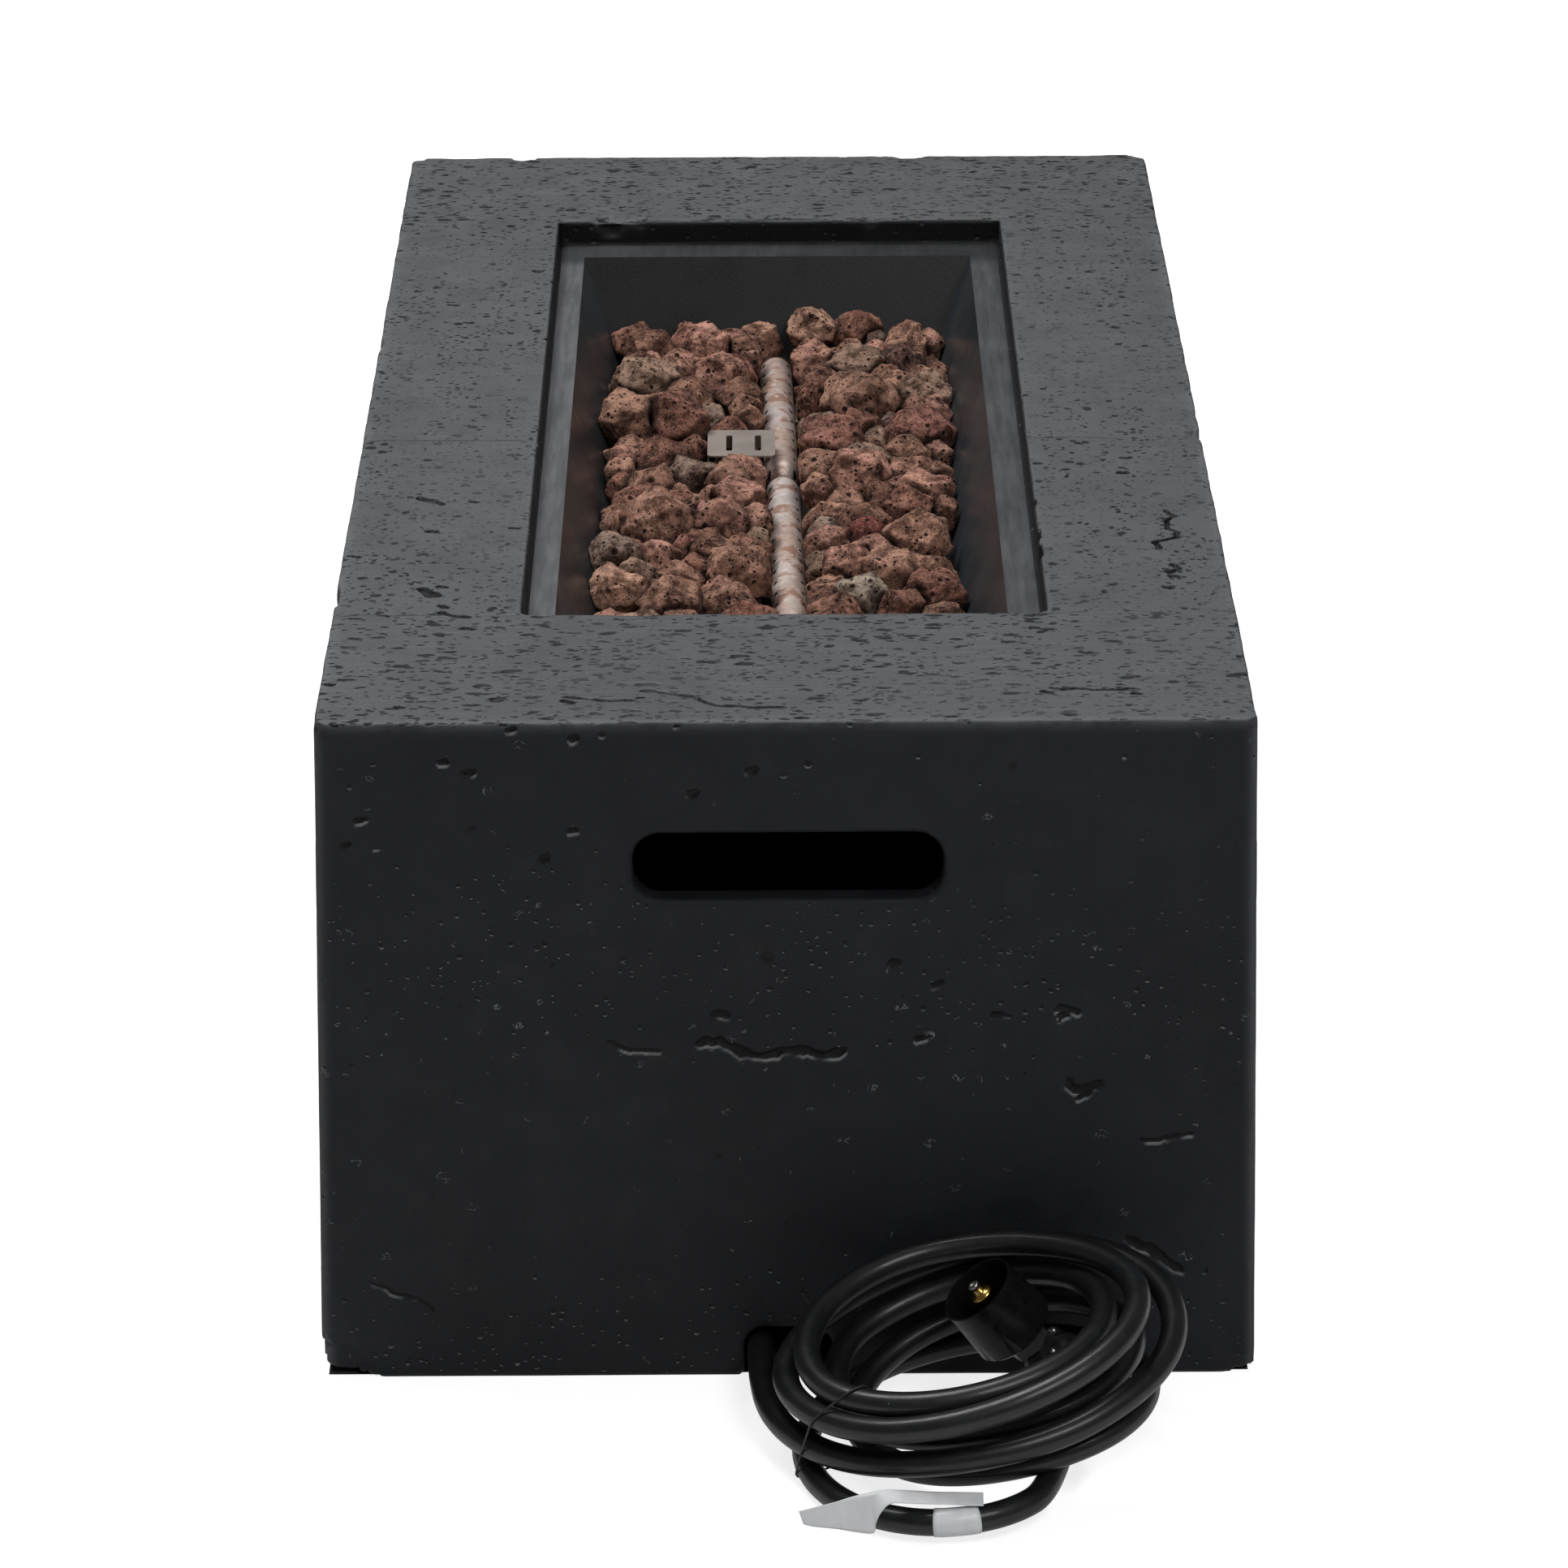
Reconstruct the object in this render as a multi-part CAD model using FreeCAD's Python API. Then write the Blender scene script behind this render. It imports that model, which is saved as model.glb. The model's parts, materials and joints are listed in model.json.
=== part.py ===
import FreeCAD, Part
import math
import os
import random
from FreeCAD import Vector

# Fire pit table, in millimetres. The origin is on the floor under the middle of the body, +Z is up,
# the length runs along Y, and the end with the hose notch faces -Y.

# Body: a hollow casting with draft, open below
BASE_W = 533.0
BASE_L = 1067.0
TOP_W = 517.0
TOP_L = 1051.0
HEIGHT = 400.0
WALL = 17.0
TOP_THICK = 34.0
CORNER_R = 7.0
EDGE_R = 5.0

# Opening in the top, and the ledge that the pan hangs on
OPEN_W = 300.0
OPEN_L = 737.0
OPEN_Y = 8.0
LEDGE_Z = 381.0
LEDGE_HOLE_W = 270.0
LEDGE_HOLE_L = 691.0
OPEN_CORNER_R = 3.0
HOLLOW_CORNER_R = 14.0

# Handle slots, hose notch and control cut-out
SLOT_X = 1.0
SLOT_W = 172.0
SLOT_H = 39.6
SLOT_Z = 313.8
SLOT_R = 16.0
NOTCH_W = 50.0
NOTCH_H = 30.0
NOTCH_R = 12.0
POCKET_L = 150.0
POCKET_H = 80.0
POCKET_Z = 210.0
POCKET_DEPTH = 40.0
POCKET_R = 8.0

# Pan
SHEET = 1.5
PAN_X = -1.5
PAN_W = 262.0
PAN_L = 683.0
PAN_DEPTH = 95.0
PAN_SLOPE = 0.37
FLANGE_GAP = 2.0
INLET_HOLE_R = 8.6
LEAD_HOLE = (-26.0, 98.0)
LEAD_HOLE_R = 8.0
FLANGE_TOP = LEDGE_Z + SHEET
PAN_FLOOR = FLANGE_TOP - PAN_DEPTH

# Burner tube
TUBE_R = 11.0
TUBE_WALL = 1.2
TUBE_Z = 315.0
TUBE_LEN = 588.0
TUBE_X = 1.8
TUBE_TURN = 0.92
NECK_Y = 82.0
NECK_R = 6.2
NECK_HALF = 18.0
PORT_PITCH = 18.5
PORT_LEN = 6.5
PORT_W = 1.6
PORT_SIDE = 48.0
PORT_SLANT = 35.0
CAP_LIP = 0.6
STRAP_T = 1.6
STRAP_W = 14.0
STRAP_Y = (-205.0, 195.0)
INLET_Y = OPEN_Y
INLET_BORE_R = 4.6
INLET_THREAD_R = 8.5

# Pilot guard beside the tube
GUARD_X0 = -47.5
GUARD_X1 = -4.0
GUARD_Y0 = 74.0
GUARD_Y1 = 123.0
GUARD_Z = 338.0
GUARD_T = 1.0
GUARD_SCREW_Y = (84.0, 113.0)
GUARD_SCREW_X = GUARD_X0 + 7.0
GUARD_SCREW_R = 2.0
GUARD_SLOT_X = (-33.5, -15.0)

# Electrode and thermocouple under the guard
ELECTRODE_X = -32.0
THERMOCOUPLE_X = -20.0
PILOT_Y = LEAD_HOLE[1]
PILOT_Z = PAN_FLOOR + 20.0
PILOT_R = 3.0

# Lava rocks: two layers of stones. Each row is one that stands out in the upper layer: its place across
# and along the bed, how far it sits above the layer, and its half width. The rest fill what is left.
STONE_GAP = 0.5
LOWER_Z = PAN_FLOOR + 18.5
LOWER_HALF = 16.5
UPPER_Z = PAN_FLOOR + 50.0
UPPER_HALF = (10.0, 14.5)
UPPER_LIFT = (-9.0, -1.0)
LOWER_SIZES = (18.0, 16.0, 14.0)
UPPER_SIZES = (15.0, 13.0, 11.0, 9.0)
THROWS = 260
STONE_CUTS = 13
STONE_REACH = (0.92, 1.12)
STONE_FLOOR = 2.2
TROUGH = TUBE_R + 2.2
TROUGH_END = 3.0
TROUGH_LEAN = 0.15
HOOD_SLOPE = 0.6
HOOD_DROP = 10.0
LANDMARKS = [
    (-88, 294, -4, 17), (-48, 284, -1, 17), (-87, 207, 1, 21), (-40, 223, 2, 17), (-98, 124, 8, 19),
    (-72, 128, 6, 21), (-74, 59, 0, 19), (-76, -61, 5, 23), (-27, -13, 1, 17), (-40, -55, 2, 19),
    (-102, -118, 2, 15), (-27, -135, 1, 18), (-99, -169, 2, 16), (-68, -195, 2, 19),
    (23, 307, 7, 15), (51, 315, 1, 16), (81, 248, -1, 15), (50, 241, 0, 19), (96, 185, 0, 16),
    (51, 169, 4, 24), (90, 103, 2, 20), (33, 88, 2, 20), (48, 30, 2, 20), (80, -28, 0, 16),
    (52, -82, 3, 11), (84, -95, 4, 19), (41, -135, 2, 16), (64, -152, 3, 18), (49, -182, 0, 15),
    (92, -175, 0, 16),
]

# Gas controls in the pocket on the -X side
KNOB_Y = -32.0
BUTTON_Y = 38.0
PANEL_T = 1.5
KNOB_R = 19.0
KNOB_LEN = 22.0
KNOB_TRAVEL = 4.0
BUTTON_R = 9.0
BUTTON_TRAVEL = 6.0
BARREL_R = 11.0
COLLAR_R = 7.2
STEM_R = 3.95
SCREW_R = 1.6
FEED_R = 3.0
FIT = 0.08

# Hose
HOSE_D = 14.8
HOSE_BORE = 8.0
LOOPS = [
    # centre x, centre y, half width, half depth, height, rise to the back, rise to the right
    (99.0, -588.5, 114.0, 114.0, 38.5, 10.0, 11.0),
    (102.5, -633.0, 105.5, 77.5, 80.0, 10.0, 27.0),
    (92.0, -628.5, 81.0, 67.0, 85.0, 10.0, 13.5),
    (101.5, -615.5, 74.5, 65.5, 62.5, 2.5, 18.5),
    (118.5, -611.0, 79.5, 66.0, 37.0, 9.0, 20.0),
    (104.0, -634.0, 95.0, 92.5, 20.5, 3.0, 11.0),
    (11.5, -653.0, 75.5, 56.5, 0.0, 11.5, -0.5),
]
COIL_TURNS = 5.4
COIL_HEADING = Vector(0.03, -1.0, 0.0).normalize()
LEAD = [
    (-195.0, -32.0, 150.0),
    (-195.0, -32.0, 105.0),
    (-190.0, -50.0, 55.0),
    (-172.0, -90.0, 18.0),
    (-145.0, -145.0, 8.4),
    (-105.0, -235.0, 8.4),
    (-70.0, -330.0, 8.4),
    (-32.0, -420.0, 8.4),
    (-15.5, -505.0, 8.6),
]
LEAD_IN = 20.0

# String tie round the turns, in a plane through the middle of the turns: distance out and height of
# the strands that it goes round
TIE_D = 1.2
TIE_CLEAR = 1.1
TIE_OUT = Vector(-0.8, -0.6, 0)
TIE_FROM = Vector(104.0, -615.0, 0)
TIE_STRANDS = [(62.5, 15.4), (105.9, 9.2), (108.8, 52.3), (93.1, 67.6), (72.9, 45.8)]

# Paper tag: a sleeve on the lowest turn and a tail that leaves it to the left, as edges from top to bottom
TAG_TURN = 5.25
TAG_HALF = 12.5
TAG_T = 0.4
TAG_TAIL = [
    ((102.0, -717.0, 27.0), (102.0, -719.0, 21.2)),
    ((77.0, -718.0, 28.0), (77.0, -720.5, 21.2)),
    ((57.0, -719.0, 30.0), (58.0, -723.0, 23.5)),
    ((45.0, -722.0, 31.0), (46.0, -728.0, 9.0)),
    ((24.6, -726.0, 27.0), (26.0, -728.0, 11.5)),
    ((4.5, -727.0, 22.0), (7.0, -728.0, 14.5)),
]

# Tank connection and regulator
NUT_AXIS = Vector(-0.61, -0.136, 0.776).normalize()
NUT_MOUTH = Vector(104.5, -601.0, 90.0)
NUT_LEN = 38.0
NUT_R = 22.4
NUT_BASE_R = 24.2
REG_BACK = 36.0
REG_R = 24.0
REG_LOW = 9.0
REG_SPLIT = 8.0
REG_PORT_R = 7.8
REG_HEX = 9.0
FERRULE_LEN = 22.0
FERRULE_R = 9.3
OUTLET_AXIS = Vector(0.0, -0.985, -0.17).normalize()

X = Vector(1, 0, 0)
Y = Vector(0, 1, 0)
Z = Vector(0, 0, 1)
nodes = {}


def add(name, *shapes):
    """Keeps the solids of one node."""
    solids = []
    for shape in shapes:
        solids += shape.Solids
    nodes[name] = solids[0] if len(solids) == 1 else Part.makeCompound(solids)
    return nodes[name]


def box(x0, x1, y0, y1, z0, z1):
    return Part.makeBox(x1 - x0, y1 - y0, z1 - z0, Vector(x0, y0, z0))


def rod(start, axis, length, radius):
    """A cylinder from start along axis."""
    return Part.makeCylinder(radius, length, Vector(*start), Vector(*axis))


def pipe_piece(start, axis, length, outer, inner):
    return rod(start, axis, length, outer).cut(rod(start, axis, length, inner))


def frustum(w0, l0, z0, w1, l1, z1):
    """A block whose four sides slope evenly from one rectangle to another."""
    block = Part.makeWedge(-w0 / 2, z0, -l0 / 2, -l1 / 2, -w1 / 2, w0 / 2, z1, l0 / 2, l1 / 2, w1 / 2)
    block.rotate(Vector(0, 0, 0), X, 90)
    return block


def fillet_edges(shape, radius, wanted):
    edges = [e for e in shape.Edges if wanted(e)]
    return shape.makeFillet(radius, edges)


def is_upright(edge):
    """True for a straight edge that runs mostly up and down."""
    if not isinstance(edge.Curve, (Part.Line, Part.LineSegment)):
        return False
    a, b = edge.Vertexes[0].Point, edge.Vertexes[-1].Point
    return abs((b - a).normalize().z) > 0.9


def rounded_box(x0, x1, y0, y1, z0, z1, radius, axis):
    """A box whose four edges along one axis are rounded."""
    shape = box(x0, x1, y0, y1, z0, z1)
    wanted = lambda e: abs((e.Vertexes[1].Point - e.Vertexes[0].Point).normalize().dot(axis)) > 0.9
    return fillet_edges(shape, radius, wanted)


def hex_prism(start, axis, length, across_flats):
    """A hexagonal bar from start along axis."""
    r = across_flats / math.sqrt(3)
    angles = [math.radians(60 * i) for i in range(7)]
    points = [Vector(r * math.cos(a), r * math.sin(a), 0) for a in angles]
    bar = Part.Face(Part.makePolygon(points)).extrude(Vector(0, 0, length))
    return placed(bar, start, axis)


def placed(shape, origin, axis):
    """Moves a shape made on the Z axis to an origin and an axis."""
    shape = shape.copy()
    shape.Placement = FreeCAD.Placement(Vector(*origin), FreeCAD.Rotation(Z, Vector(*axis)))
    return shape


def turned(profile, origin, axis):
    """Revolves a closed profile of (radius, height) corners, then stands it on an axis."""
    points = [Vector(r, 0, h) for r, h in profile]
    face = Part.Face(Part.makePolygon(points + [points[0]]))
    return placed(face.revolve(Vector(0, 0, 0), Z, 360), origin, axis)


def arc_mid(centre, a, b):
    """The middle of the shorter arc from a to b about a centre."""
    radius = (a - centre).Length
    return centre + ((a - centre) + (b - centre)).normalize() * radius


def route_edges(points, radii=None):
    """Straight runs joined by tangent arcs, each as large as its two runs allow."""
    edges = []
    start = points[0]
    for before, here, after in zip(points, points[1:], points[2:]):
        u = (before - here)
        v = (after - here)
        run = min(u.Length, v.Length)
        u = u.normalize()
        v = v.normalize()
        half_turn = (math.pi - u.getAngle(v)) / 2
        back = 0.45 * run
        radius = back / math.tan(half_turn)
        if radii is not None:
            radii.append(radius)
        a = here + u * back
        b = here + v * back
        centre = here + (u + v).normalize() * (radius / math.cos(half_turn))
        edges.append(Part.LineSegment(start, a).toShape())
        edges.append(Part.Arc(a, arc_mid(centre, a, b), b).toShape())
        start = b
    edges.append(Part.LineSegment(start, points[-1]).toShape())
    return edges


def sweep(edges, radius, start, direction):
    """A round bar along a path, as a pipe shell."""
    profile = Part.Wire(Part.makeCircle(radius, start, direction))
    shell = Part.Wire(edges).makePipeShell([profile], True, False)
    return shell if shell.ShapeType == "Solid" else Part.Solid(shell)


def wire_bar(points, diameter, radii=None):
    """A bent wire or tube through the points of a route."""
    points = [Vector(*p) for p in points]
    return sweep(route_edges(points, radii), diameter / 2, points[0], points[1] - points[0])


def pan_block(width, length, depth):
    """A block with the pan's sloping sides, its wide end at the top of the flange."""
    drop = 2 * PAN_SLOPE * depth
    block = frustum(width - drop, length - drop, FLANGE_TOP - depth, width, length, FLANGE_TOP)
    block.translate(Vector(PAN_X, OPEN_Y, 0))
    return block


# Cast body

def make_body():
    """The casting: draft outside, even walls inside, with its slots, notch and cut-out."""
    shell = frustum(BASE_W, BASE_L, 0, TOP_W, TOP_L, HEIGHT)
    shell = fillet_edges(shell, CORNER_R, is_upright)
    rim = lambda e: min(v.Point.z for v in e.Vertexes) > HEIGHT - 0.1
    shell = fillet_edges(shell, EDGE_R, rim)
    roof = HEIGHT - TOP_THICK
    inner_base = (BASE_W - 2 * WALL, BASE_L - 2 * WALL)
    draft = (BASE_W - TOP_W) * roof / HEIGHT
    hollow = frustum(inner_base[0], inner_base[1], 0, inner_base[0] - draft, inner_base[1] - draft, roof)
    shell = shell.cut(fillet_edges(hollow, HOLLOW_CORNER_R, is_upright))
    opening = box(-OPEN_W / 2, OPEN_W / 2, OPEN_Y - OPEN_L / 2, OPEN_Y + OPEN_L / 2, LEDGE_Z, HEIGHT + 5)
    shell = shell.cut(fillet_edges(opening, OPEN_CORNER_R, is_upright))
    pan_hole = box(PAN_X - LEDGE_HOLE_W / 2, PAN_X + LEDGE_HOLE_W / 2, OPEN_Y - LEDGE_HOLE_L / 2,
                   OPEN_Y + LEDGE_HOLE_L / 2, roof - 5, LEDGE_Z + 1)
    shell = shell.cut(fillet_edges(pan_hole, 2 * OPEN_CORNER_R, is_upright))
    slots = rounded_box(SLOT_X - SLOT_W / 2, SLOT_X + SLOT_W / 2, -BASE_L, BASE_L,
                        SLOT_Z - SLOT_H / 2, SLOT_Z + SLOT_H / 2, SLOT_R, Y)
    shell = shell.cut(slots)
    past_wall = WALL + 20
    notch = rounded_box(-NOTCH_W / 2, NOTCH_W / 2, -BASE_L, -BASE_L / 2 + past_wall,
                        -NOTCH_H, NOTCH_H, NOTCH_R, Y)
    shell = shell.cut(notch)
    cutout = rounded_box(-BASE_W, -BASE_W / 2 + past_wall, -POCKET_L / 2, POCKET_L / 2,
                         POCKET_Z - POCKET_H / 2, POCKET_Z + POCKET_H / 2, POCKET_R, X)
    return shell.cut(cutout)


# Pan, burner and pilot

def make_pan():
    """One pressed sheet: flange, sloping sides and floor, with holes for the gas inlet and the leads."""
    outer = pan_block(PAN_W + 2 * SHEET, PAN_L + 2 * SHEET, PAN_DEPTH + SHEET)
    flange = box(-OPEN_W / 2 + FLANGE_GAP, OPEN_W / 2 - FLANGE_GAP, OPEN_Y - OPEN_L / 2 + FLANGE_GAP,
                 OPEN_Y + OPEN_L / 2 - FLANGE_GAP, LEDGE_Z, FLANGE_TOP)
    flange = fillet_edges(flange, OPEN_CORNER_R, is_upright)
    pan = outer.fuse(flange).cut(pan_block(PAN_W, PAN_L, PAN_DEPTH))
    holes = [(TUBE_X, INLET_Y, INLET_HOLE_R), (*LEAD_HOLE, LEAD_HOLE_R)]
    holes += [(GUARD_SCREW_X, y, GUARD_SCREW_R) for y in GUARD_SCREW_Y]
    for x, y, radius in holes:
        pan = pan.cut(rod((x, y, PAN_FLOOR - 10), (0, 0, 1), 20, radius))
    return pan.removeSplitter()


def burner_frame(shape):
    """Turns a piece made along Y at x = 0 to the burner's place, a little off the pan's long axis."""
    shape = shape.copy()
    turn = FreeCAD.Placement(Vector(TUBE_X, OPEN_Y, TUBE_Z), FreeCAD.Rotation(Z, TUBE_TURN))
    shape.Placement = turn.multiply(shape.Placement)
    return shape


def neck_curve(radius, neck, inset):
    """The outline of the waist: two arcs down to the neck and two back up."""
    y = NECK_Y - OPEN_Y
    half = NECK_HALF - inset
    mid = (radius + neck) / 2
    drop = (radius - neck) / 2
    r = ((half / 2) ** 2 + drop ** 2) / (2 * drop)
    s = math.sin(math.asin((half / 2) / r) / 2)
    c = math.cos(math.asin((half / 2) / r) / 2)
    edges = []
    for side in (-1, 1):
        top = Vector(radius, y + side * half, 0)
        mid_point = Vector(mid, y + side * half / 2, 0)
        low = Vector(neck, y, 0)
        upper = Vector(radius - r + r * c, y + side * (half - r * s), 0)
        lower = Vector(neck + r - r * c, y + side * r * s, 0)
        pair = [Part.Arc(top, upper, mid_point).toShape(), Part.Arc(mid_point, lower, low).toShape()]
        edges += pair if side < 0 else pair[::-1]
    return edges


def make_tube():
    """The burner tube: a hollow revolve with a waist, and two rows of slanted ports."""
    half = TUBE_LEN / 2
    inner = TUBE_R - TUBE_WALL
    solids = []
    for radius, neck, inset in ((TUBE_R, NECK_R, 0.0), (inner, NECK_R - TUBE_WALL, 0.0)):
        waist = neck_curve(radius, neck, inset)
        y = NECK_Y - OPEN_Y
        ends = [Vector(0, -half, 0), Vector(radius, -half, 0), Vector(radius, y - NECK_HALF + inset, 0),
                Vector(radius, y + NECK_HALF - inset, 0), Vector(radius, half, 0), Vector(0, half, 0)]
        edges = [Part.LineSegment(ends[0], ends[1]).toShape(), Part.LineSegment(ends[1], ends[2]).toShape()]
        edges += waist
        edges += [Part.LineSegment(ends[3], ends[4]).toShape(), Part.LineSegment(ends[4], ends[5]).toShape(),
                  Part.LineSegment(ends[5], ends[0]).toShape()]
        face = Part.Face(Part.Wire(Part.__sortEdges__(edges)))
        solids.append(face.revolve(Vector(0, 0, 0), Y, 360))
    tube = solids[0].cut(solids[1])
    ports = []
    count = int((TUBE_LEN - 30) / PORT_PITCH)
    for i in range(count):
        y = (i - (count - 1) / 2) * PORT_PITCH
        if abs(y - (NECK_Y - OPEN_Y)) < NECK_HALF + 4:
            continue
        for side in (-1, 1):
            port = Part.makeBox(PORT_W, PORT_LEN, 6, Vector(-PORT_W / 2, -PORT_LEN / 2, TUBE_R - 4))
            port.rotate(Vector(0, 0, 0), Z, side * PORT_SLANT)
            port.rotate(Vector(0, 0, 0), Y, side * PORT_SIDE)
            port.translate(Vector(0, y, 0))
            ports.append(port)
    tube = tube.cut(Part.makeCompound(ports))
    tube = tube.cut(Part.makeCylinder(6.6, 20, Vector(0, 0, -20), Z))
    return burner_frame(tube)


def make_end_caps():
    caps = []
    for side in (-1, 1):
        plug = Part.makeCylinder(TUBE_R - TUBE_WALL, 5.0, Vector(0, side * TUBE_LEN / 2, 0), Y * -side)
        lip = Part.makeCylinder(TUBE_R + CAP_LIP, 1.6, Vector(0, side * TUBE_LEN / 2, 0), Y * side)
        caps.append(burner_frame(plug.fuse(lip).removeSplitter()))
    return caps


def make_supports():
    """Bent straps that carry the tube off the pan floor."""
    straps = []
    floor = PAN_FLOOR - TUBE_Z
    for y in STRAP_Y:
        ring = Part.makeCylinder(TUBE_R + STRAP_T, STRAP_W, Vector(0, y, 0), Y)
        ring = ring.cut(Part.makeCylinder(TUBE_R, STRAP_W, Vector(0, y, 0), Y))
        ring = ring.cut(box(-20, 20, y - 1, y + STRAP_W + 1, 0, 20))
        leg = box(-1.0, 1.0, y, y + STRAP_W, floor, -TUBE_R - STRAP_T / 2)
        foot = box(-1.0, 18.0, y, y + STRAP_W, floor, floor + STRAP_T)
        straps.append(burner_frame(ring.fuse(leg).fuse(foot).removeSplitter()))
    return straps


def make_guard():
    """The slotted hood: top, rounded front and back corners, a leg down to the pan and a short right lip."""
    top = box(GUARD_X0, GUARD_X1, GUARD_Y0, GUARD_Y1, GUARD_Z - GUARD_T, GUARD_Z)
    top = fillet_edges(top, 3.0, is_upright)
    leg = box(GUARD_X0, GUARD_X0 + GUARD_T, GUARD_Y0 + 3, GUARD_Y1 - 3, PAN_FLOOR, GUARD_Z - GUARD_T)
    foot = box(GUARD_X0, GUARD_X0 + 12, GUARD_Y0 + 3, GUARD_Y1 - 3, PAN_FLOOR, PAN_FLOOR + GUARD_T)
    back = box(GUARD_X0 + 3, GUARD_X1 - 3, GUARD_Y1 - GUARD_T, GUARD_Y1, GUARD_Z - 12, GUARD_Z - GUARD_T)
    guard = top.fuse([leg, foot, back])
    for x in GUARD_SLOT_X:
        slot = rounded_box(x - 2.0, x + 2.0, 84.0, 113.0, GUARD_Z - 5, GUARD_Z + 5, 1.4, Z)
        guard = guard.cut(slot)
    for y in GUARD_SCREW_Y:
        guard = guard.cut(rod((GUARD_SCREW_X, y, PAN_FLOOR - 1), (0, 0, 1), 4, GUARD_SCREW_R))
    return guard.removeSplitter()


def make_pilot():
    """Bracket, electrode and thermocouple under the hood, with their leads down through the pan floor."""
    back, front, t = PILOT_Y + 6.0, PILOT_Y - 6.0, 1.6
    left, right = ELECTRODE_X - 5.0, THERMOCOUPLE_X + 7.0
    shelf_z = PILOT_Z + 12.4
    bracket = box(left, right, back, back + t, shelf_z - 18.4, shelf_z + t)
    shelf = box(left, right, front, back + t, shelf_z, shelf_z + t)
    arm = box(GUARD_X0 + GUARD_T, left, back, back + t, shelf_z - 14.4, shelf_z - 2.4)
    bracket = bracket.fuse([shelf, arm])
    for x in (ELECTRODE_X, THERMOCOUPLE_X):
        bracket = bracket.cut(rod((x, PILOT_Y, PAN_FLOOR), (0, 0, 1), 50, PILOT_R + 0.05))
    add("pilot_bracket", bracket.removeSplitter())
    wire = 0.8
    neck = PILOT_R - 0.8
    profile = [(wire, 0.0), (PILOT_R, 0.0), (PILOT_R, 18.0), (neck, 19.5), (neck, 24.0), (wire, 24.0)]
    add("electrode_insulator", turned(profile, (ELECTRODE_X, PILOT_Y, PILOT_Z), (0, 0, 1)))
    spark = [(ELECTRODE_X, PILOT_Y, PILOT_Z - 2), (ELECTRODE_X, PILOT_Y, PILOT_Z + 26),
             (ELECTRODE_X + 3.5, PILOT_Y, PILOT_Z + 28.4)]
    add("electrode_tip", wire_bar(spark, 2 * wire - 0.1))
    tip = [(0.0, 0.0), (PILOT_R, 0.0), (PILOT_R, 14.0), (2.4, 15.0), (2.4, 25.0), (1.2, 27.0), (0.0, 27.0)]
    add("thermocouple", turned(tip, (THERMOCOUPLE_X, PILOT_Y, PILOT_Z), (0, 0, 1)))


def make_gas_line():
    """What hangs under the pan: inlet, locknut, air mixer, orifice, elbow and the feed to the valve."""
    x, y = TUBE_X, INLET_Y
    up = (0, 0, 1)
    thread_len = 14.0
    top = TUBE_Z - TUBE_R + 2.4
    mixer_top = PAN_FLOOR - thread_len
    inlet = pipe_piece((x, y, mixer_top), up, top - mixer_top, 6.5, INLET_BORE_R)
    collar = pipe_piece((x, y, PAN_FLOOR), up, 4.0, 12.0, INLET_BORE_R)
    thread = pipe_piece((x, y, mixer_top), up, thread_len, INLET_THREAD_R, INLET_BORE_R)
    add("burner_inlet", inlet.fuse([collar, thread]).removeSplitter())
    nut_len = 6.0
    nut_z = PAN_FLOOR - SHEET - nut_len
    nut = hex_prism((x, y, nut_z), up, nut_len, 24.0)
    add("inlet_locknut", nut.cut(rod((x, y, nut_z - 1), up, nut_len + 2, INLET_THREAD_R)))
    mixer_len, mixer_r = 46.0, 10.0
    base = mixer_top - mixer_len
    profile = [(INLET_BORE_R, 0.0), (INLET_THREAD_R, 0.0), (INLET_THREAD_R, 12.0), (mixer_r, 16.0),
               (mixer_r, mixer_len), (INLET_BORE_R, mixer_len), (INLET_BORE_R, mixer_len - 4), (8.4, 40.0),
               (8.4, 16.0), (INLET_BORE_R, 10.0)]
    mixer = turned(profile, (x, y, base), up)
    low, high, half = mixer_top - 26, mixer_top - 12, 3.2
    windows = [rounded_box(x - 12, x + 12, y - half, y + half, low, high, half - 0.2, X),
               rounded_box(x - half, x + half, y - 12, y + 12, low, high, half - 0.2, Y)]
    add("air_mixer", mixer.cut(Part.makeCompound(windows)))
    jet = 0.6
    profile = [(jet, 0.0), (INLET_BORE_R, 0.0), (INLET_BORE_R, 9.0), (2.5, 14.0), (jet, 14.0)]
    add("gas_orifice", turned(profile, (x, y, base), up))
    feed_z = base - 12.0
    elbow = rod((x, y, base), (0, 0, -1), 22.0, 8.0).fuse(rod((x, y, feed_z), (-1, 0, 0), 20.0, 7.0))
    elbow = elbow.removeSplitter().cut(rod((x, y, base + 1), (0, 0, -1), 16.0, FEED_R))
    elbow = elbow.cut(rod((x, y, feed_z), (-1, 0, 0), 30, FEED_R))
    flare = hex_prism((x - 20.0, y, feed_z), (-1, 0, 0), 12.0, 14.0)
    flare = flare.cut(rod((x - 15.0, y, feed_z), (-1, 0, 0), 30, FEED_R))
    add("orifice_elbow", elbow, flare)
    route = [(x - 32.0, y, feed_z), (-62.0, y, feed_z), (-100.0, 0.0, feed_z - 4),
             (-135.0, -22.0, POCKET_Z + 1), (-152.0, KNOB_Y, POCKET_Z), (-163.0, KNOB_Y, POCKET_Z)]
    add("gas_feed_tube", wire_bar(route, 2 * FEED_R))


# Controls

WALL_IN = -BASE_W / 2 + WALL + (BASE_W - TOP_W) / 2 * POCKET_Z / HEIGHT
PANEL_X = WALL_IN + POCKET_DEPTH - WALL


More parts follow.
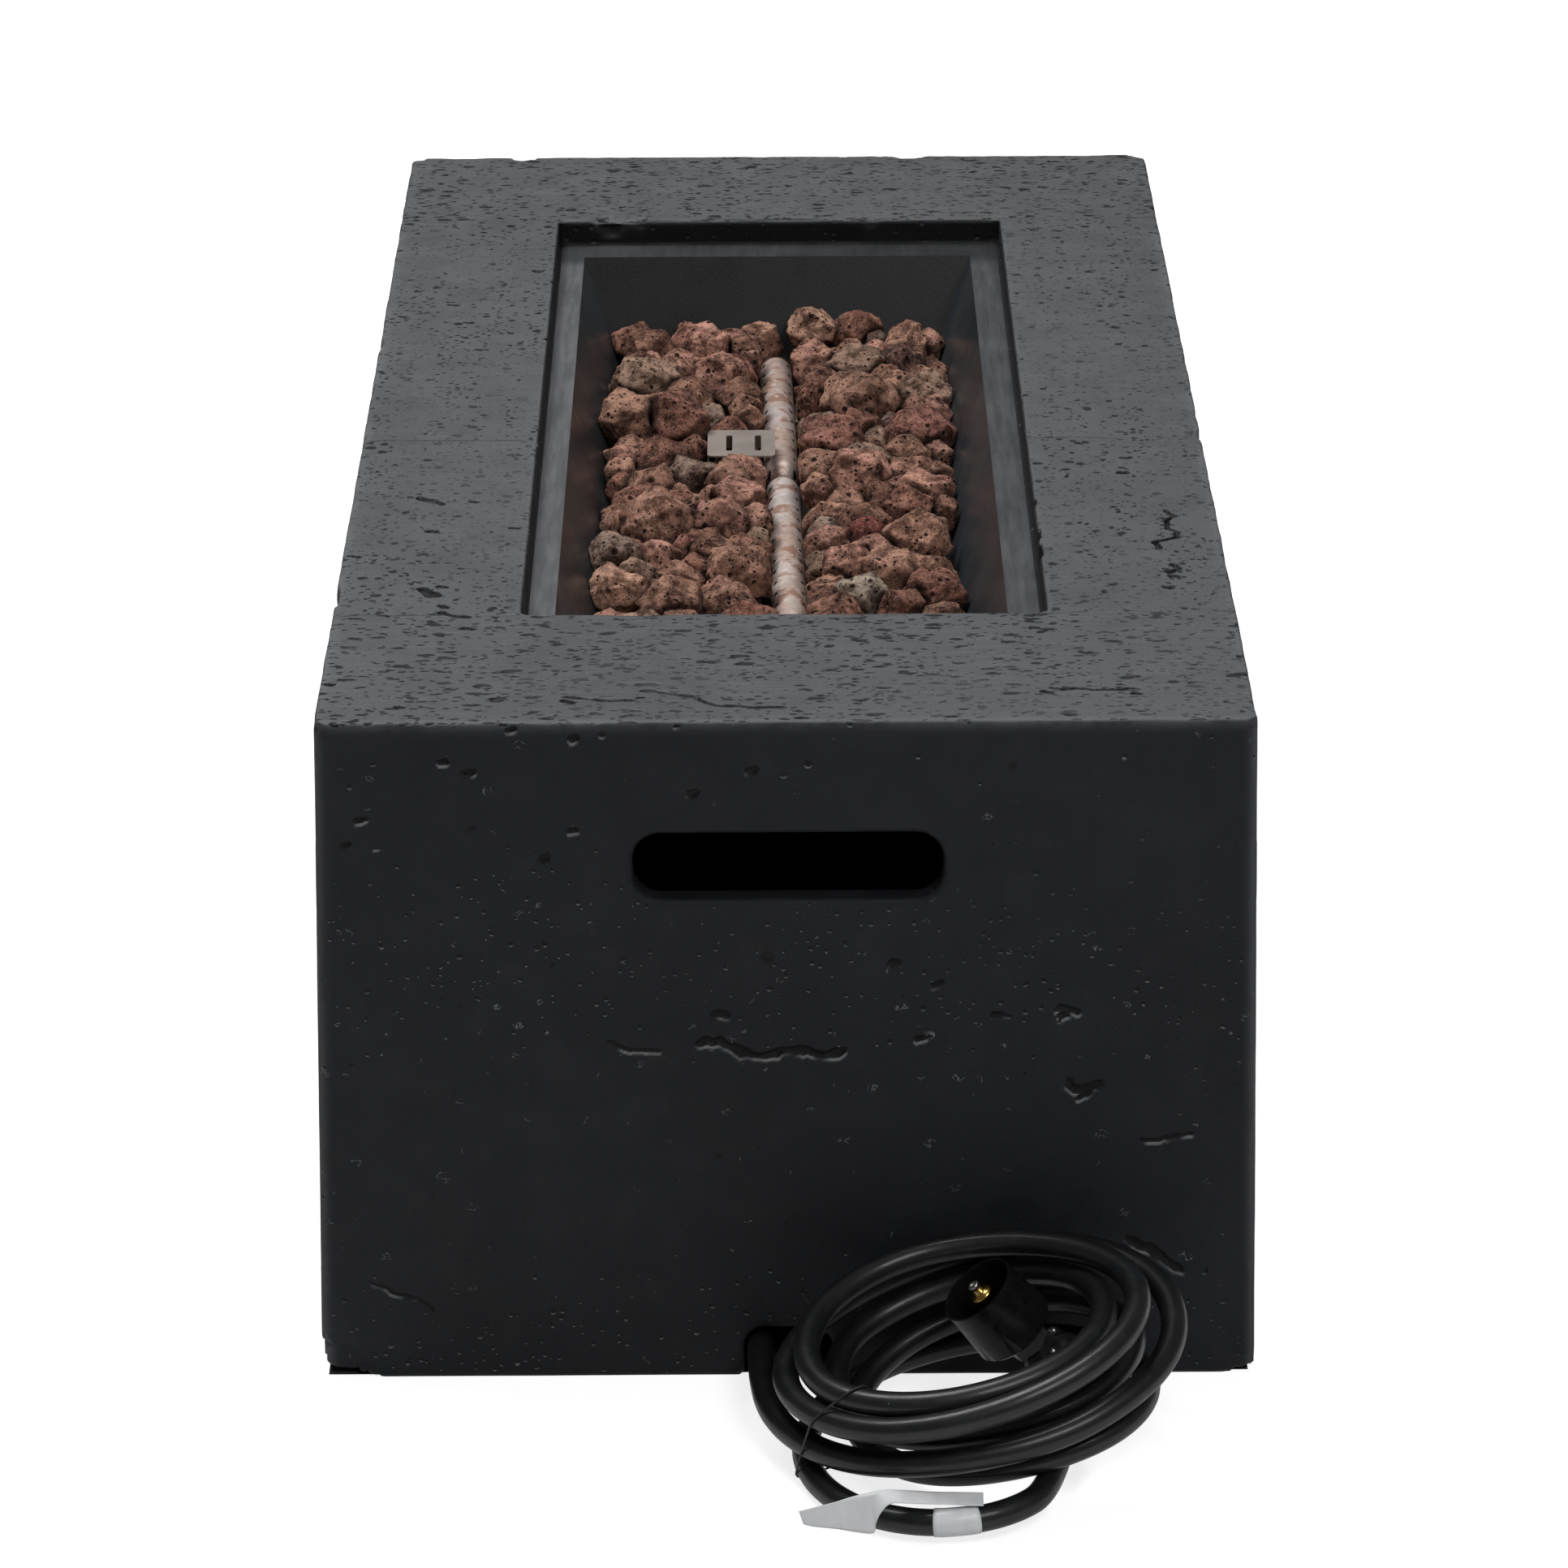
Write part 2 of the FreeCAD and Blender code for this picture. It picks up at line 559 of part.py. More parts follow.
def make_controls():
    """The pocket behind the cut-out: surround, panel, valve, knob, igniter and its button."""
    back = PANEL_X
    wall = WALL_IN + 5.2
    margin, lip, corner = 3.0, 14.0, 9.0
    y0, y1 = -POCKET_L / 2 - margin, POCKET_L / 2 + margin
    z0, z1 = POCKET_Z - POCKET_H / 2 - margin, POCKET_Z + POCKET_H / 2 + margin
    outer = rounded_box(wall, back, y0, y1, z0, z1, corner, X)
    flange = rounded_box(wall, wall + SHEET, y0 - lip, y1 + lip, z0 - lip, z1 + lip, corner + 3, X)
    inner = rounded_box(wall - 1, back + 1, y0 + SHEET, y1 - SHEET, z0 + SHEET, z1 - SHEET, corner - SHEET, X)
    surround = outer.fuse(flange).cut(inner)
    add("control_surround", surround.removeSplitter())
    plate = rounded_box(back, back + PANEL_T, y0, y1, z0, z1, corner, X)
    inset = 9.0
    corners = [(y, z) for y in (y0 + inset, y1 - inset) for z in (z0 + inset, z1 - inset)]
    holes = [(KNOB_Y, POCKET_Z, COLLAR_R + 0.1), (BUTTON_Y, POCKET_Z, BARREL_R + 0.1)]
    holes += [(y, z, SCREW_R) for y, z in corners]
    for y, z, radius in holes:
        plate = plate.cut(rod((back - 5, y, z), (1, 0, 0), 10, radius))
    add("control_panel", plate)
    head = [(0, 0), (3.4, 0), (3.1, 1.4), (1.8, 2.3), (0, 2.3)]
    screws = []
    for y, z in corners:
        shank = rod((back, y, z), (1, 0, 0), 9.0, SCREW_R)
        screws.append(turned(head, (back, y, z), (-1, 0, 0)).fuse(shank).removeSplitter())
    add("panel_screws", *screws)
    make_valve(back + PANEL_T)
    make_igniter(back)


def make_valve(face):
    """The valve behind the panel: body, panel nut, sliding spindle, turning stem and knob."""
    y, z = KNOB_Y, POCKET_Z
    inward = (1, 0, 0)
    nut_t = 3.0
    body = rod((face + 6.0, y, z), inward, 40.0, 15.0)
    block = rounded_box(face + 12, face + 40, y - 13, y + 13, z - 28, z + 4, 4.0, X)
    outlet = hex_prism((face + 46.0, y, z), inward, 12.0, 13.0)
    safety = rod((face + 26.0, y, z), (0, 1, 0), 30.0, 8.0)
    neck = rod((face, y, z), inward, 6.0, 10.5)
    collar = rod((face - PANEL_T - 4.0, y, z), inward, PANEL_T + 4.0, COLLAR_R)
    body = body.fuse([block, outlet, safety, neck, collar])
    body = body.cut(rod((face - 10, y, z), inward, 38.0, STEM_R + 0.1))
    body = body.cut(rod((face + 40, y, z), inward, 40.0, FEED_R))
    add("valve_body", body.removeSplitter())
    nut = hex_prism((face - PANEL_T - nut_t, y, z), inward, nut_t, 18.0)
    add("panel_nut", nut.cut(rod((face - 10, y, z), inward, 20, COLLAR_R)))
    add("valve_spindle", rod((face + 11.0, y, z), inward, 10.0, STEM_R))
    tip, flat_end, flat_z = face - 27.0, face - 12.0, z + 2.2
    stem = rod((tip, y, z), inward, 38.0, STEM_R)
    add("valve_stem", stem.cut(box(tip, flat_end, y - 5, y + 5, flat_z, z + 5)))
    knob_back = face - PANEL_T - nut_t - KNOB_TRAVEL - 1.0
    knob_front = knob_back - KNOB_LEN
    profile = [(0, 0), (KNOB_R, 0), (KNOB_R, 3.0), (KNOB_R - 2.5, 4.0), (KNOB_R - 3.5, KNOB_LEN - 2.0),
               (KNOB_R - 5.5, KNOB_LEN), (0, KNOB_LEN)]
    knob = turned(profile, (knob_back, y, z), (-1, 0, 0))
    flutes, flute_r, flute_out = 12, 2.6, KNOB_R - 1.2
    for i in range(flutes):
        angle = 2 * math.pi * (i + 0.5) / flutes
        place = (knob_back - 4.0, y + flute_out * math.cos(angle), z + flute_out * math.sin(angle))
        knob = knob.cut(rod(place, (-1, 0, 0), 30.0, flute_r))
    pointer = box(knob_front - 1.5, knob_front + 1.0, y - 1.2, y + 1.2, z + 1.0, z + 12.0)
    knob = knob.fuse(pointer).removeSplitter()
    add("control_knob", knob.cut(nodes["valve_stem"]))


def make_igniter(panel):
    """The spark unit: threaded body through the panel, its nut, the sprung button and the lead."""
    y, z = BUTTON_Y, POCKET_Z
    inward = (1, 0, 0)
    face = panel + PANEL_T
    proud, case_len, boot_len = 8.0, 46.0, 10.0
    bore = BUTTON_R + FIT
    barrel = pipe_piece((panel - proud, y, z), inward, PANEL_T + proud, BARREL_R, bore)
    case = rod((face, y, z), inward, case_len, 14.0).cut(rod((face - 1, y, z), inward, 16.0, bore))
    boot = turned([(0, 0), (5, 0), (3.0, boot_len), (0, boot_len)], (face + case_len, y, z), inward)
    add("igniter_body", barrel.fuse([case, boot]).removeSplitter())
    nut_t = 4.0
    nut = hex_prism((panel - nut_t, y, z), inward, nut_t, 28.0)
    add("igniter_nut", nut.cut(rod((panel - 10, y, z), inward, 20, BARREL_R)))
    profile = [(0, 0), (BUTTON_R, 0), (BUTTON_R, 19.0), (BUTTON_R - 1.5, 20.5), (BUTTON_R - 4.0, 19.6),
               (0, 19.2)]
    add("igniter_button", turned(profile, (panel + 4.0, y, z), (-1, 0, 0)))
    start = face + case_len + boot_len
    lead = [(start, y, z), (start + 24, y, z), (start + 60, y + 16, z + 8), (-60.0, 84.0, 232.0),
            (-38.0, 96.0, 262.0), (ELECTRODE_X, PILOT_Y, 284.0), (ELECTRODE_X, PILOT_Y, PILOT_Z - 2)]
    add("igniter_lead", wire_bar(lead, 2.6))
    safety = (face + 26.0, KNOB_Y + 30.0, z)
    tail = [safety, (safety[0], safety[1] + 14, z), (-150.0, 22.0, 218.0), (-110.0, 60.0, 238.0),
            (-72.0, 92.0, 246.0), (-34.0, 112.0, 256.0), (THERMOCOUPLE_X, PILOT_Y, 280.0),
            (THERMOCOUPLE_X, PILOT_Y, PILOT_Z)]
    add("thermocouple_lead", wire_bar(tail, 2.4))


# Lava rocks

class Stone:
    """One stone's place and its half sizes along X, Y and Z."""

    def __init__(self, x, y, z, half_x, half_y, half_z):
        self.centre = Vector(x, y, z)
        self.half = (half_x, half_y, half_z)

    def reach(self, direction):
        """How far its ellipsoid goes from the centre to the plane that faces a direction."""
        return math.sqrt(sum((h * d) ** 2 for h, d in zip(self.half, direction)))


def bed_walls():
    """The pan's inner sides and floor, as outward normals and how far out they lie."""
    slope = 1 / math.hypot(1, PAN_SLOPE)
    walls = []
    for side in (-1, 1):
        for axis, middle, size in ((X, PAN_X, PAN_W), (Y, OPEN_Y, PAN_L)):
            normal = (axis * side - Z * PAN_SLOPE) * slope
            foot = axis * (middle + side * size / 2) + Z * FLANGE_TOP
            walls.append((normal, normal.dot(foot) - STONE_GAP))
    walls.append((Z * -1, -(PAN_FLOOR + STONE_FLOOR)))
    return walls


def keep_clear(centre):
    """The planes that hold a stone off the burner tube and off the pilot guard, from where it lies."""
    turn = math.radians(TUBE_TURN)
    along = Vector(-math.sin(turn), math.cos(turn), 0)
    across = Vector(math.cos(turn), math.sin(turn), 0)
    middle = Vector(TUBE_X, OPEN_Y, TUBE_Z)
    off = middle - centre
    beside = (across * off.dot(across) + Z * off.z * TROUGH_LEAN).normalize()
    beyond = along if off.dot(along) > 0 else along * -1
    tube = [(beside, middle.dot(beside) - TROUGH), (beyond, middle.dot(beyond) - TUBE_LEN / 2 - TROUGH_END)]
    gap = 2 * STONE_GAP
    ahead = (Y + Z * HOOD_SLOPE).normalize()
    hood = [(X, GUARD_X0 - gap), (ahead, ahead.dot(Vector(0, GUARD_Y0 - gap, GUARD_Z - HOOD_DROP))),
            (Y * -1, -GUARD_Y1 - gap), (X * -1, -GUARD_X1 - gap)]
    nearest = []
    for faces in (tube, hood):
        faces = [(limit - normal.dot(centre), normal, limit) for normal, limit in faces]
        nearest.append(max(faces, key=lambda face: face[0]))
    if nearest[-1][1] == ahead:
        nearest.append((GUARD_Y0 - gap - centre.y, Y, GUARD_Y0 - gap))
    return nearest


def has_room(stone, others):
    """True where most of a stone lies inside the bed and clear of its neighbours."""
    inside, apart = 0.82, 0.80
    for normal, limit in bed_walls()[:-1]:
        if normal.dot(stone.centre) + inside * stone.reach(normal) > limit:
            return False
    for room, normal, _ in keep_clear(stone.centre):
        if room < inside * stone.reach(normal):
            return False
    for other in others:
        between = other.centre - stone.centre
        between.z = 0
        if between.Length < apart * (stone.half[0] + other.half[0]):
            return False
    return True


def scatter(stones, z, sizes, heights, lift, rng):
    """Throws ever smaller stones into one layer until no more of them find room."""
    reach_x, reach_y = PAN_W / 2, PAN_L / 2
    for size in sizes:
        misses = 0
        while misses < THROWS:
            half = size * rng.uniform(0.9, 1.1)
            place = (PAN_X + rng.uniform(-reach_x, reach_x), OPEN_Y + rng.uniform(-reach_y, reach_y))
            height = min(max(0.85 * half, heights[0]), heights[1])
            stone = Stone(*place, z + rng.uniform(*lift), half, half * rng.uniform(0.8, 1.0), height)
            if has_room(stone, stones):
                stones.append(stone)
                misses = 0
            else:
                misses += 1
    return stones


def clip(faces, normal, limit):
    """Cuts a convex set of faces by a plane, keeps what is below it and closes the cut."""
    kept, rim = [], []
    for face in faces:
        piece = []
        for a, b in zip(face, face[1:] + face[:1]):
            high_a, high_b = normal.dot(a) - limit, normal.dot(b) - limit
            if high_a <= 0:
                piece.append(a)
            if high_a * high_b < 0:
                crossing = a + (b - a) * (high_a / (high_a - high_b))
                piece.append(crossing)
                if all((crossing - p).Length > 1e-6 for p in rim):
                    rim.append(crossing)
        if len(piece) > 2:
            kept.append(piece)
    if len(rim) > 2:
        middle = sum(rim, Vector(0, 0, 0)) * (1 / len(rim))
        u = (rim[0] - middle).normalize()
        v = normal.cross(u)
        rim.sort(key=lambda p: math.atan2((p - middle).dot(v), (p - middle).dot(u)))
        kept.append(rim)
    return kept


def stone_faces(stone, planes, rng):
    """A block about the stone, cut by chance planes all round and by the planes given."""
    c, (a, b, h) = stone.centre, stone.half
    big = 1.3
    corner = lambda i, j, k: Vector(c.x + i * big * a, c.y + j * big * b, c.z + k * big * h)
    quad = [(-1, -1), (1, -1), (1, 1), (-1, 1)]
    faces = [[corner(s, i, j) for i, j in quad[::s]] for s in (-1, 1)]
    faces += [[corner(i, s, j) for i, j in quad[::-s]] for s in (-1, 1)]
    faces += [[corner(i, j, s) for i, j in quad[::s]] for s in (-1, 1)]
    spin = FreeCAD.Rotation(rng.uniform(0, 360), rng.uniform(-90, 90), rng.uniform(0, 360))
    for i in range(STONE_CUTS):
        rise = 1 - 2 * (i + 0.5) / STONE_CUTS
        angle = i * math.pi * (3 - math.sqrt(5))
        flat = math.sqrt(1 - rise * rise)
        normal = spin.multVec(Vector(flat * math.cos(angle), flat * math.sin(angle), rise))
        faces = clip(faces, normal, normal.dot(c) + stone.reach(normal) * rng.uniform(*STONE_REACH))
    for normal, limit in planes:
        faces = clip(faces, normal, limit)
    return faces


def shortest_edge(faces):
    return min((a - b).Length for face in faces for a, b in zip(face, face[1:] + face[:1]))


def stone_solid(stone, others, rng):
    """One angular stone, kept to its own side of a plane between it and each neighbour."""
    planes = bed_walls() + [(normal, limit) for _, normal, limit in keep_clear(stone.centre)]
    for other in others:
        between = other.centre - stone.centre
        if other is not stone and between.Length < 4 * max(stone.half + other.half):
            normal = Vector(between).normalize()
            mine, theirs = stone.reach(normal), other.reach(normal)
            limit = normal.dot(stone.centre) + between.Length * mine / (mine + theirs) - STONE_GAP / 2
            planes.append((normal, limit))
    tries = [stone_faces(stone, planes, rng) for _ in range(6)]
    faces = max((f for f in tries if len(f) > 3), key=shortest_edge)
    skin = Part.Compound([Part.Face(Part.makePolygon(face + face[:1])) for face in faces])
    skin.sewShape()
    solid = Part.Solid(skin.Shells[0])
    return solid if solid.Volume > 0 else solid.reversed()


def make_rocks(rng):
    """The two layers of stones, as one bed on each side of the tube."""
    lower = scatter([], LOWER_Z, LOWER_SIZES, (LOWER_HALF, LOWER_HALF), (0, 0), rng)
    upper = []
    for x, y, rise, half in LANDMARKS:
        height = min(max(0.8 * half, UPPER_HALF[0]), UPPER_HALF[1])
        upper.append(Stone(x, y, UPPER_Z + rise, half, 0.9 * half, height))
    scatter(upper, UPPER_Z, UPPER_SIZES, UPPER_HALF, UPPER_LIFT, rng)
    stones = lower + upper
    for name, side in (("lava_rocks_left", -1), ("lava_rocks_right", 1)):
        mine = [s for s in stones if (s.centre.x > 0) == (side > 0)]
        add(name, *[stone_solid(s, stones, rng) for s in mine])


# Hose, tie, tag and tank connection

def loop_value(row, turn):
    """One measure of the turns, which passes smoothly from each loop's value to the next."""
    k = min(int(turn), len(LOOPS) - 2)
    t = (1 - math.cos(math.pi * (turn - k))) / 2
    return LOOPS[k][row] * (1 - t) + LOOPS[k + 1][row] * t


def coil_point(turn):
    """A point of the hose's centre line, turn counted from the left side of the lowest, widest loop."""
    cx, cy, a, b, height, back, right = [loop_value(row, turn) for row in range(7)]
    angle = math.pi + 2 * math.pi * turn
    return Vector(cx + a * math.cos(angle), cy + b * math.sin(angle),
                  height + back * math.sin(angle) + right * math.cos(angle))


def coil_tangent(turn):
    step = 0.002
    return (coil_point(turn + step) - coil_point(turn - step)).normalize()


def tangent_arc(a, direction, b, reverse=False):
    """The arc between a and b that is tangent to a direction at a; reverse draws it from b to a."""
    w = b - a
    n = w - direction * w.dot(direction)
    ends = (b, a) if reverse else (a, b)
    if n.Length < 1e-6:
        return Part.LineSegment(*ends).toShape(), None
    centre = a + n * (w.dot(w) / (2 * n.dot(w)))
    return Part.Arc(ends[0], arc_mid(centre, a, b), ends[1]).toShape(), (a - centre).Length


def biarc(p0, t0, p1, t1, radii):
    """Two arcs that leave p0 along t0, meet in a common tangent and reach p1 along t1."""
    v = p1 - p0
    t = t0 + t1
    share = 2 * (1 - t0.dot(t1))
    if share < 1e-9:
        d = v.dot(v) / (4 * v.dot(t1))
    else:
        d = (-v.dot(t) + math.sqrt(v.dot(t) ** 2 + share * v.dot(v))) / share
    middle = (p0 + t0 * d + p1 - t1 * d) * 0.5
    first, r0 = tangent_arc(p0, t0, middle)
    second, r1 = tangent_arc(p1, t1 * -1, middle, True)
    radii += [r for r in (r0, r1) if r]
    return [first, second]


REG_CENTRE = NUT_MOUTH - NUT_AXIS * (NUT_LEN + REG_BACK)
FERRULE_START = REG_CENTRE + OUTLET_AXIS * (REG_R + REG_HEX)
HOSE_END = FERRULE_START + OUTLET_AXIS * FERRULE_LEN


def coil_edges(radii):
    """The wound stretch: straight for one diameter, quarter-turn biarcs, straight for one diameter."""
    start, heading = coil_point(0.0), COIL_HEADING
    edges = [Part.LineSegment(start - heading * HOSE_D, start).toShape()]
    quarters = [0.25 * i for i in range(1, int(COIL_TURNS * 4) + 1)] + [COIL_TURNS]
    stations = [(start, heading)] + [(coil_point(q), coil_tangent(q)) for q in quarters]
    stations.append((HOSE_END + OUTLET_AXIS * HOSE_D, OUTLET_AXIS * -1))
    for (p0, t0), (p1, t1) in zip(stations, stations[1:]):
        edges += biarc(p0, t0, p1, t1, radii)
    edges.append(Part.LineSegment(HOSE_END + OUTLET_AXIS * HOSE_D, HOSE_END).toShape())
    return edges


def least_gap(edges, spacing, skip):
    """The least distance between stretches of a path that are more than skip apart along it, on points."""
    points = []
    along = 0.0
    for edge in edges:
        count = max(2, int(edge.Length / spacing))
        for p in edge.discretize(count)[:-1]:
            points.append((along, p))
            along += edge.Length / (count - 1)
    cells = {}
    size = 20.0
    for s, p in points:
        cells.setdefault((int(p.x // size), int(p.y // size), int(p.z // size)), []).append((s, p))
    least = 1e9
    steps = [(i, j, k) for i in (-1, 0, 1) for j in (-1, 0, 1) for k in (-1, 0, 1)]
    for (i, j, k), here in cells.items():
        for di, dj, dk in steps:
            for s, p in cells.get((i + di, j + dj, k + dk), []):
                for s2, q in here:
                    if s2 - s > skip:
                        least = min(least, p.distanceToPoint(q))
    return least


def make_hose():
    """The lead inside the body and through the notch, then the turns that end in the regulator."""
    radii = []
    start, heading = coil_point(0.0), COIL_HEADING
    entry = start - heading * HOSE_D
    route = LEAD + [tuple(entry - heading * LEAD_IN), tuple(entry)]
    lead = wire_bar(route, HOSE_D, radii)
    lead_edges = route_edges([Vector(*p) for p in route])
    print("hose lead: bend radii", [round(r) for r in radii])
    length = sum(e.Length for e in lead_edges)
    print("hose lead: length %.0f, volume / (section x length) %.4f" % (
        length, lead.Volume / (math.pi * HOSE_D ** 2 / 4 * length)))
    add("hose_lead", lead)
    coil_radii = []
    edges = coil_edges(coil_radii)
    coil = sweep(edges, HOSE_D / 2, edges[0].Vertexes[0].Point, heading)
    coil_length = sum(e.Length for e in edges)
    print("coil: length %.0f, smallest bend radius %.0f, volume / (section x length) %.4f" % (
        coil_length, min(coil_radii), coil.Volume / (math.pi * HOSE_D ** 2 / 4 * coil_length)))
    print("coil: least gap of the tube to itself %.2f" % (least_gap(edges, 2.0, 60.0) - HOSE_D))
    add("hose_coil", coil)
    return edges


def band(centres, radius, place):
    """A closed loop pulled round equal circles: straight stretches and arcs, placed by a function."""
    edges = []
    normals = []
    for (r0, z0), (r1, z1) in zip(centres, centres[1:] + centres[:1]):
        length = math.hypot(r1 - r0, z1 - z0)
        normals.append(((z1 - z0) / length, (r0 - r1) / length))
    for i, (r0, z0) in enumerate(centres):
        r1, z1 = centres[(i + 1) % len(centres)]
        n, following = normals[i], normals[(i + 1) % len(centres)]
        a = place(r0 + n[0] * radius, z0 + n[1] * radius)
        b = place(r1 + n[0] * radius, z1 + n[1] * radius)
        c = place(r1 + following[0] * radius, z1 + following[1] * radius)
        edges.append(Part.LineSegment(a, b).toShape())
        edges.append(Part.Arc(b, arc_mid(place(r1, z1), b, c), c).toShape())
    return edges


def make_tie():
    """A thin string loop round the turns at the front left."""
    place = lambda r, z: TIE_FROM + TIE_OUT * r + Z * z
    edges = band(TIE_STRANDS, HOSE_D / 2 + TIE_CLEAR, place)
    start = edges[0].Vertexes[0].Point
    add("hose_tie", sweep(edges, TIE_D / 2, start, edges[0].Vertexes[1].Point - start))


def make_tag(edges):
    """The paper tag on the lowest turn: a sleeve that spans two of its arcs, and a thin folded tail."""
    middle = coil_point(TAG_TURN)
    after = min(edges, key=lambda e: (e.Vertexes[0].Point - middle).Length)
    before = edges[edges.index(after) - 1]
    first, last = after.ParameterRange
    right = after.Curve.toShape(first, first + (last - first) * TAG_HALF / after.Length)
    first, last = before.ParameterRange
    left = before.Curve.toShape(last - (last - first) * TAG_HALF / before.Length, last)
    start = left.Vertexes[0].Point
    heading = left.tangentAt(left.FirstParameter)
    sleeve = sweep([left, right], HOSE_D / 2 + TAG_T, start, heading)
    sleeve = sleeve.cut(sweep([left, right], HOSE_D / 2, start, heading))
    back = Y * TAG_T
    wires = []
    for top, foot in TAG_TAIL:
        top, foot = Vector(*top), Vector(*foot)
        wires.append(Part.makePolygon([top, foot, foot + back, top + back, top]))
    tail = Part.makeLoft(wires, True, True)
    add("hose_tag", sleeve, tail)


def make_regulator():
    """Round body with its ports, screwed bonnet with the vent, and the outlet to the hose."""
    side = NUT_AXIS.cross(OUTLET_AXIS).normalize()
    up = side if side.z > 0 else side * -1
    disc = turned([(0, -REG_LOW), (REG_R - 5, -REG_LOW), (REG_R, -REG_LOW + 5), (REG_R, REG_SPLIT - 3),
                   (REG_R - 0.8, REG_SPLIT), (0, REG_SPLIT)], REG_CENTRE, up)
    boss = rod(REG_CENTRE, NUT_AXIS, REG_BACK - 8.0, REG_PORT_R)
    flats = REG_R + 1.0
    inlet_hex = hex_prism(REG_CENTRE + NUT_AXIS * flats, NUT_AXIS, REG_BACK - flats - 2.0, 22.0)
    outlet = rod(REG_CENTRE, OUTLET_AXIS, flats, REG_PORT_R)
    body = disc.fuse([boss, inlet_hex, outlet])
    body = body.cut(rod(REG_CENTRE, NUT_AXIS, REG_BACK + 10.0, 4.5))
    add("regulator_body", body.removeSplitter())
    rim = REG_SPLIT + 2.5
    crown = rim + 9.0
    bonnet = turned([(0, REG_SPLIT), (REG_R - 0.8, REG_SPLIT), (REG_R - 0.8, rim), (REG_R - 6.6, rim),
                     (REG_R - 8.6, crown - 1.5), (REG_R - 10.6, crown), (0, crown)], REG_CENTRE, up)
    frame = FreeCAD.Placement(REG_CENTRE, FreeCAD.Rotation(Z, up))
    screws, shank, out = 6, 1.5, REG_R - 3.8
    head = [(0, -2.5), (shank, -2.5), (shank, 0), (2.6, 0), (2.6, 1.2), (1.8, 2.2), (0, 2.2)]
    heads = []
    for i in range(screws):
        angle = 2 * math.pi * (i + 0.5) / screws
        place = frame.multVec(Vector(out * math.cos(angle), out * math.sin(angle), rim))
        bonnet = bonnet.cut(rod(place - up * 10, up, 20, shank))
        heads.append(turned(head, place, up))
    add("regulator_bonnet", bonnet)
    add("regulator_screws", *heads)
    vent = turned([(0, 0), (5.0, 0), (5.0, 2.5), (3.5, 4.0), (0, 4.0)], REG_CENTRE + up * crown, up)
    add("regulator_vent", vent)
    add("regulator_outlet", hex_prism(REG_CENTRE + OUTLET_AXIS * flats, OUTLET_AXIS, REG_HEX - 1.0, 17.0))


def make_ferrules():
    """The crimped sleeves on both hose ends, and the fitting that takes the lead to the valve."""
    r, n = FERRULE_R, FERRULE_LEN
    waist = r - 0.6
    profile = [(0, 0), (r, 0), (r, 3), (waist, 5), (waist, n - 6), (r, n - 4), (r, n - 1), (r - 0.7, n), (0, n)]
    add("hose_ferrule_regulator", turned(profile, FERRULE_START, OUTLET_AXIS))
    top = Vector(LEAD[0][0], LEAD[0][1], LEAD[0][2] + n)
    add("hose_ferrule_valve", turned(profile, top, (0, 0, -1)))
    add("valve_inlet_fitting", hex_prism(top, (0, 0, 1), 10.0, 17.0))


def make_connection():
    """Nipple, seal and the coupling nut that spins on the nipple's neck."""
    base = NUT_MOUTH - NUT_AXIS * NUT_LEN
    neck = 5.9
    web = (2.2, 6.0)
    bore = 2.0
    nipple = [(bore, -2.0), (9.0, -2.0), (9.0, 1.6), (neck, 1.6), (neck, 6.4), (9.6, 6.4), (10.2, 9.0),
              (8.8, 15.0), (7.6, 22.0), (6.2, 27.0), (3.4, 29.5), (3.4, 31.0), (bore, 31.0)]
    add("inlet_nipple", turned(nipple, base, NUT_AXIS))
    seal = [(3.45, 29.7), (5.6, 30.0), (5.8, 33.0), (4.6, 35.6), (1.6, 35.6), (1.6, 31.2), (3.45, 31.2)]
    add("nipple_seal", turned(seal, base, NUT_AXIS))
    shell = [(neck + FIT, web[0]), (NUT_BASE_R - 2.0, web[0]), (NUT_BASE_R, 4.2), (NUT_R + 0.4, 26.0),
             (NUT_R, NUT_LEN), (NUT_R - 1.6, NUT_LEN), (NUT_R - 2.0, 26.0), (NUT_R - 2.6, web[1]),
             (neck + FIT, web[1])]
    nut = turned(shell, base, NUT_AXIS)
    frame = FreeCAD.Placement(base, FreeCAD.Rotation(Z, NUT_AXIS))
    count, grip_r, grip_len = 8, 10.0, 24.0
    out = NUT_BASE_R + grip_r - 0.8
    grips = []
    for i in range(count):
        angle = 2 * math.pi * i / count
        place = frame.multVec(Vector(out * math.cos(angle), out * math.sin(angle), 0))
        grips.append(rod(place, NUT_AXIS, grip_len, grip_r))
    add("coupling_nut", nut.cut(Part.makeCompound(grips)))


def main():
    rng = random.Random(11)
    add("body_shell", make_body())
    add("burner_pan", make_pan())
    add("burner_tube", make_tube())
    add("burner_end_caps", *make_end_caps())
    add("burner_supports", *make_supports())
    add("pilot_guard", make_guard())
    screw = [(0, -4), (GUARD_SCREW_R, -4), (GUARD_SCREW_R, GUARD_T), (3.6, GUARD_T), (3.0, 3.0), (0, 3.2)]
    add("guard_screws", *[turned(screw, (GUARD_SCREW_X, y, PAN_FLOOR), (0, 0, 1)) for y in GUARD_SCREW_Y])
    make_pilot()
    make_gas_line()
    make_controls()
    make_rocks(rng)
    edges = make_hose()
    make_tie()
    make_tag(edges)
    make_regulator()
    make_ferrules()
    make_connection()
    os.makedirs("parts", exist_ok=True)
    for name, shape in nodes.items():
        bad = "" if shape.isValid() else "  NOT VALID"
        print("%-24s solids %3d  volume %12.1f%s" % (name, len(shape.Solids), shape.Volume, bad))
        shape.exportStep("parts/%s.step" % name)


main()
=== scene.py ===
import itertools
import json
import math
import random

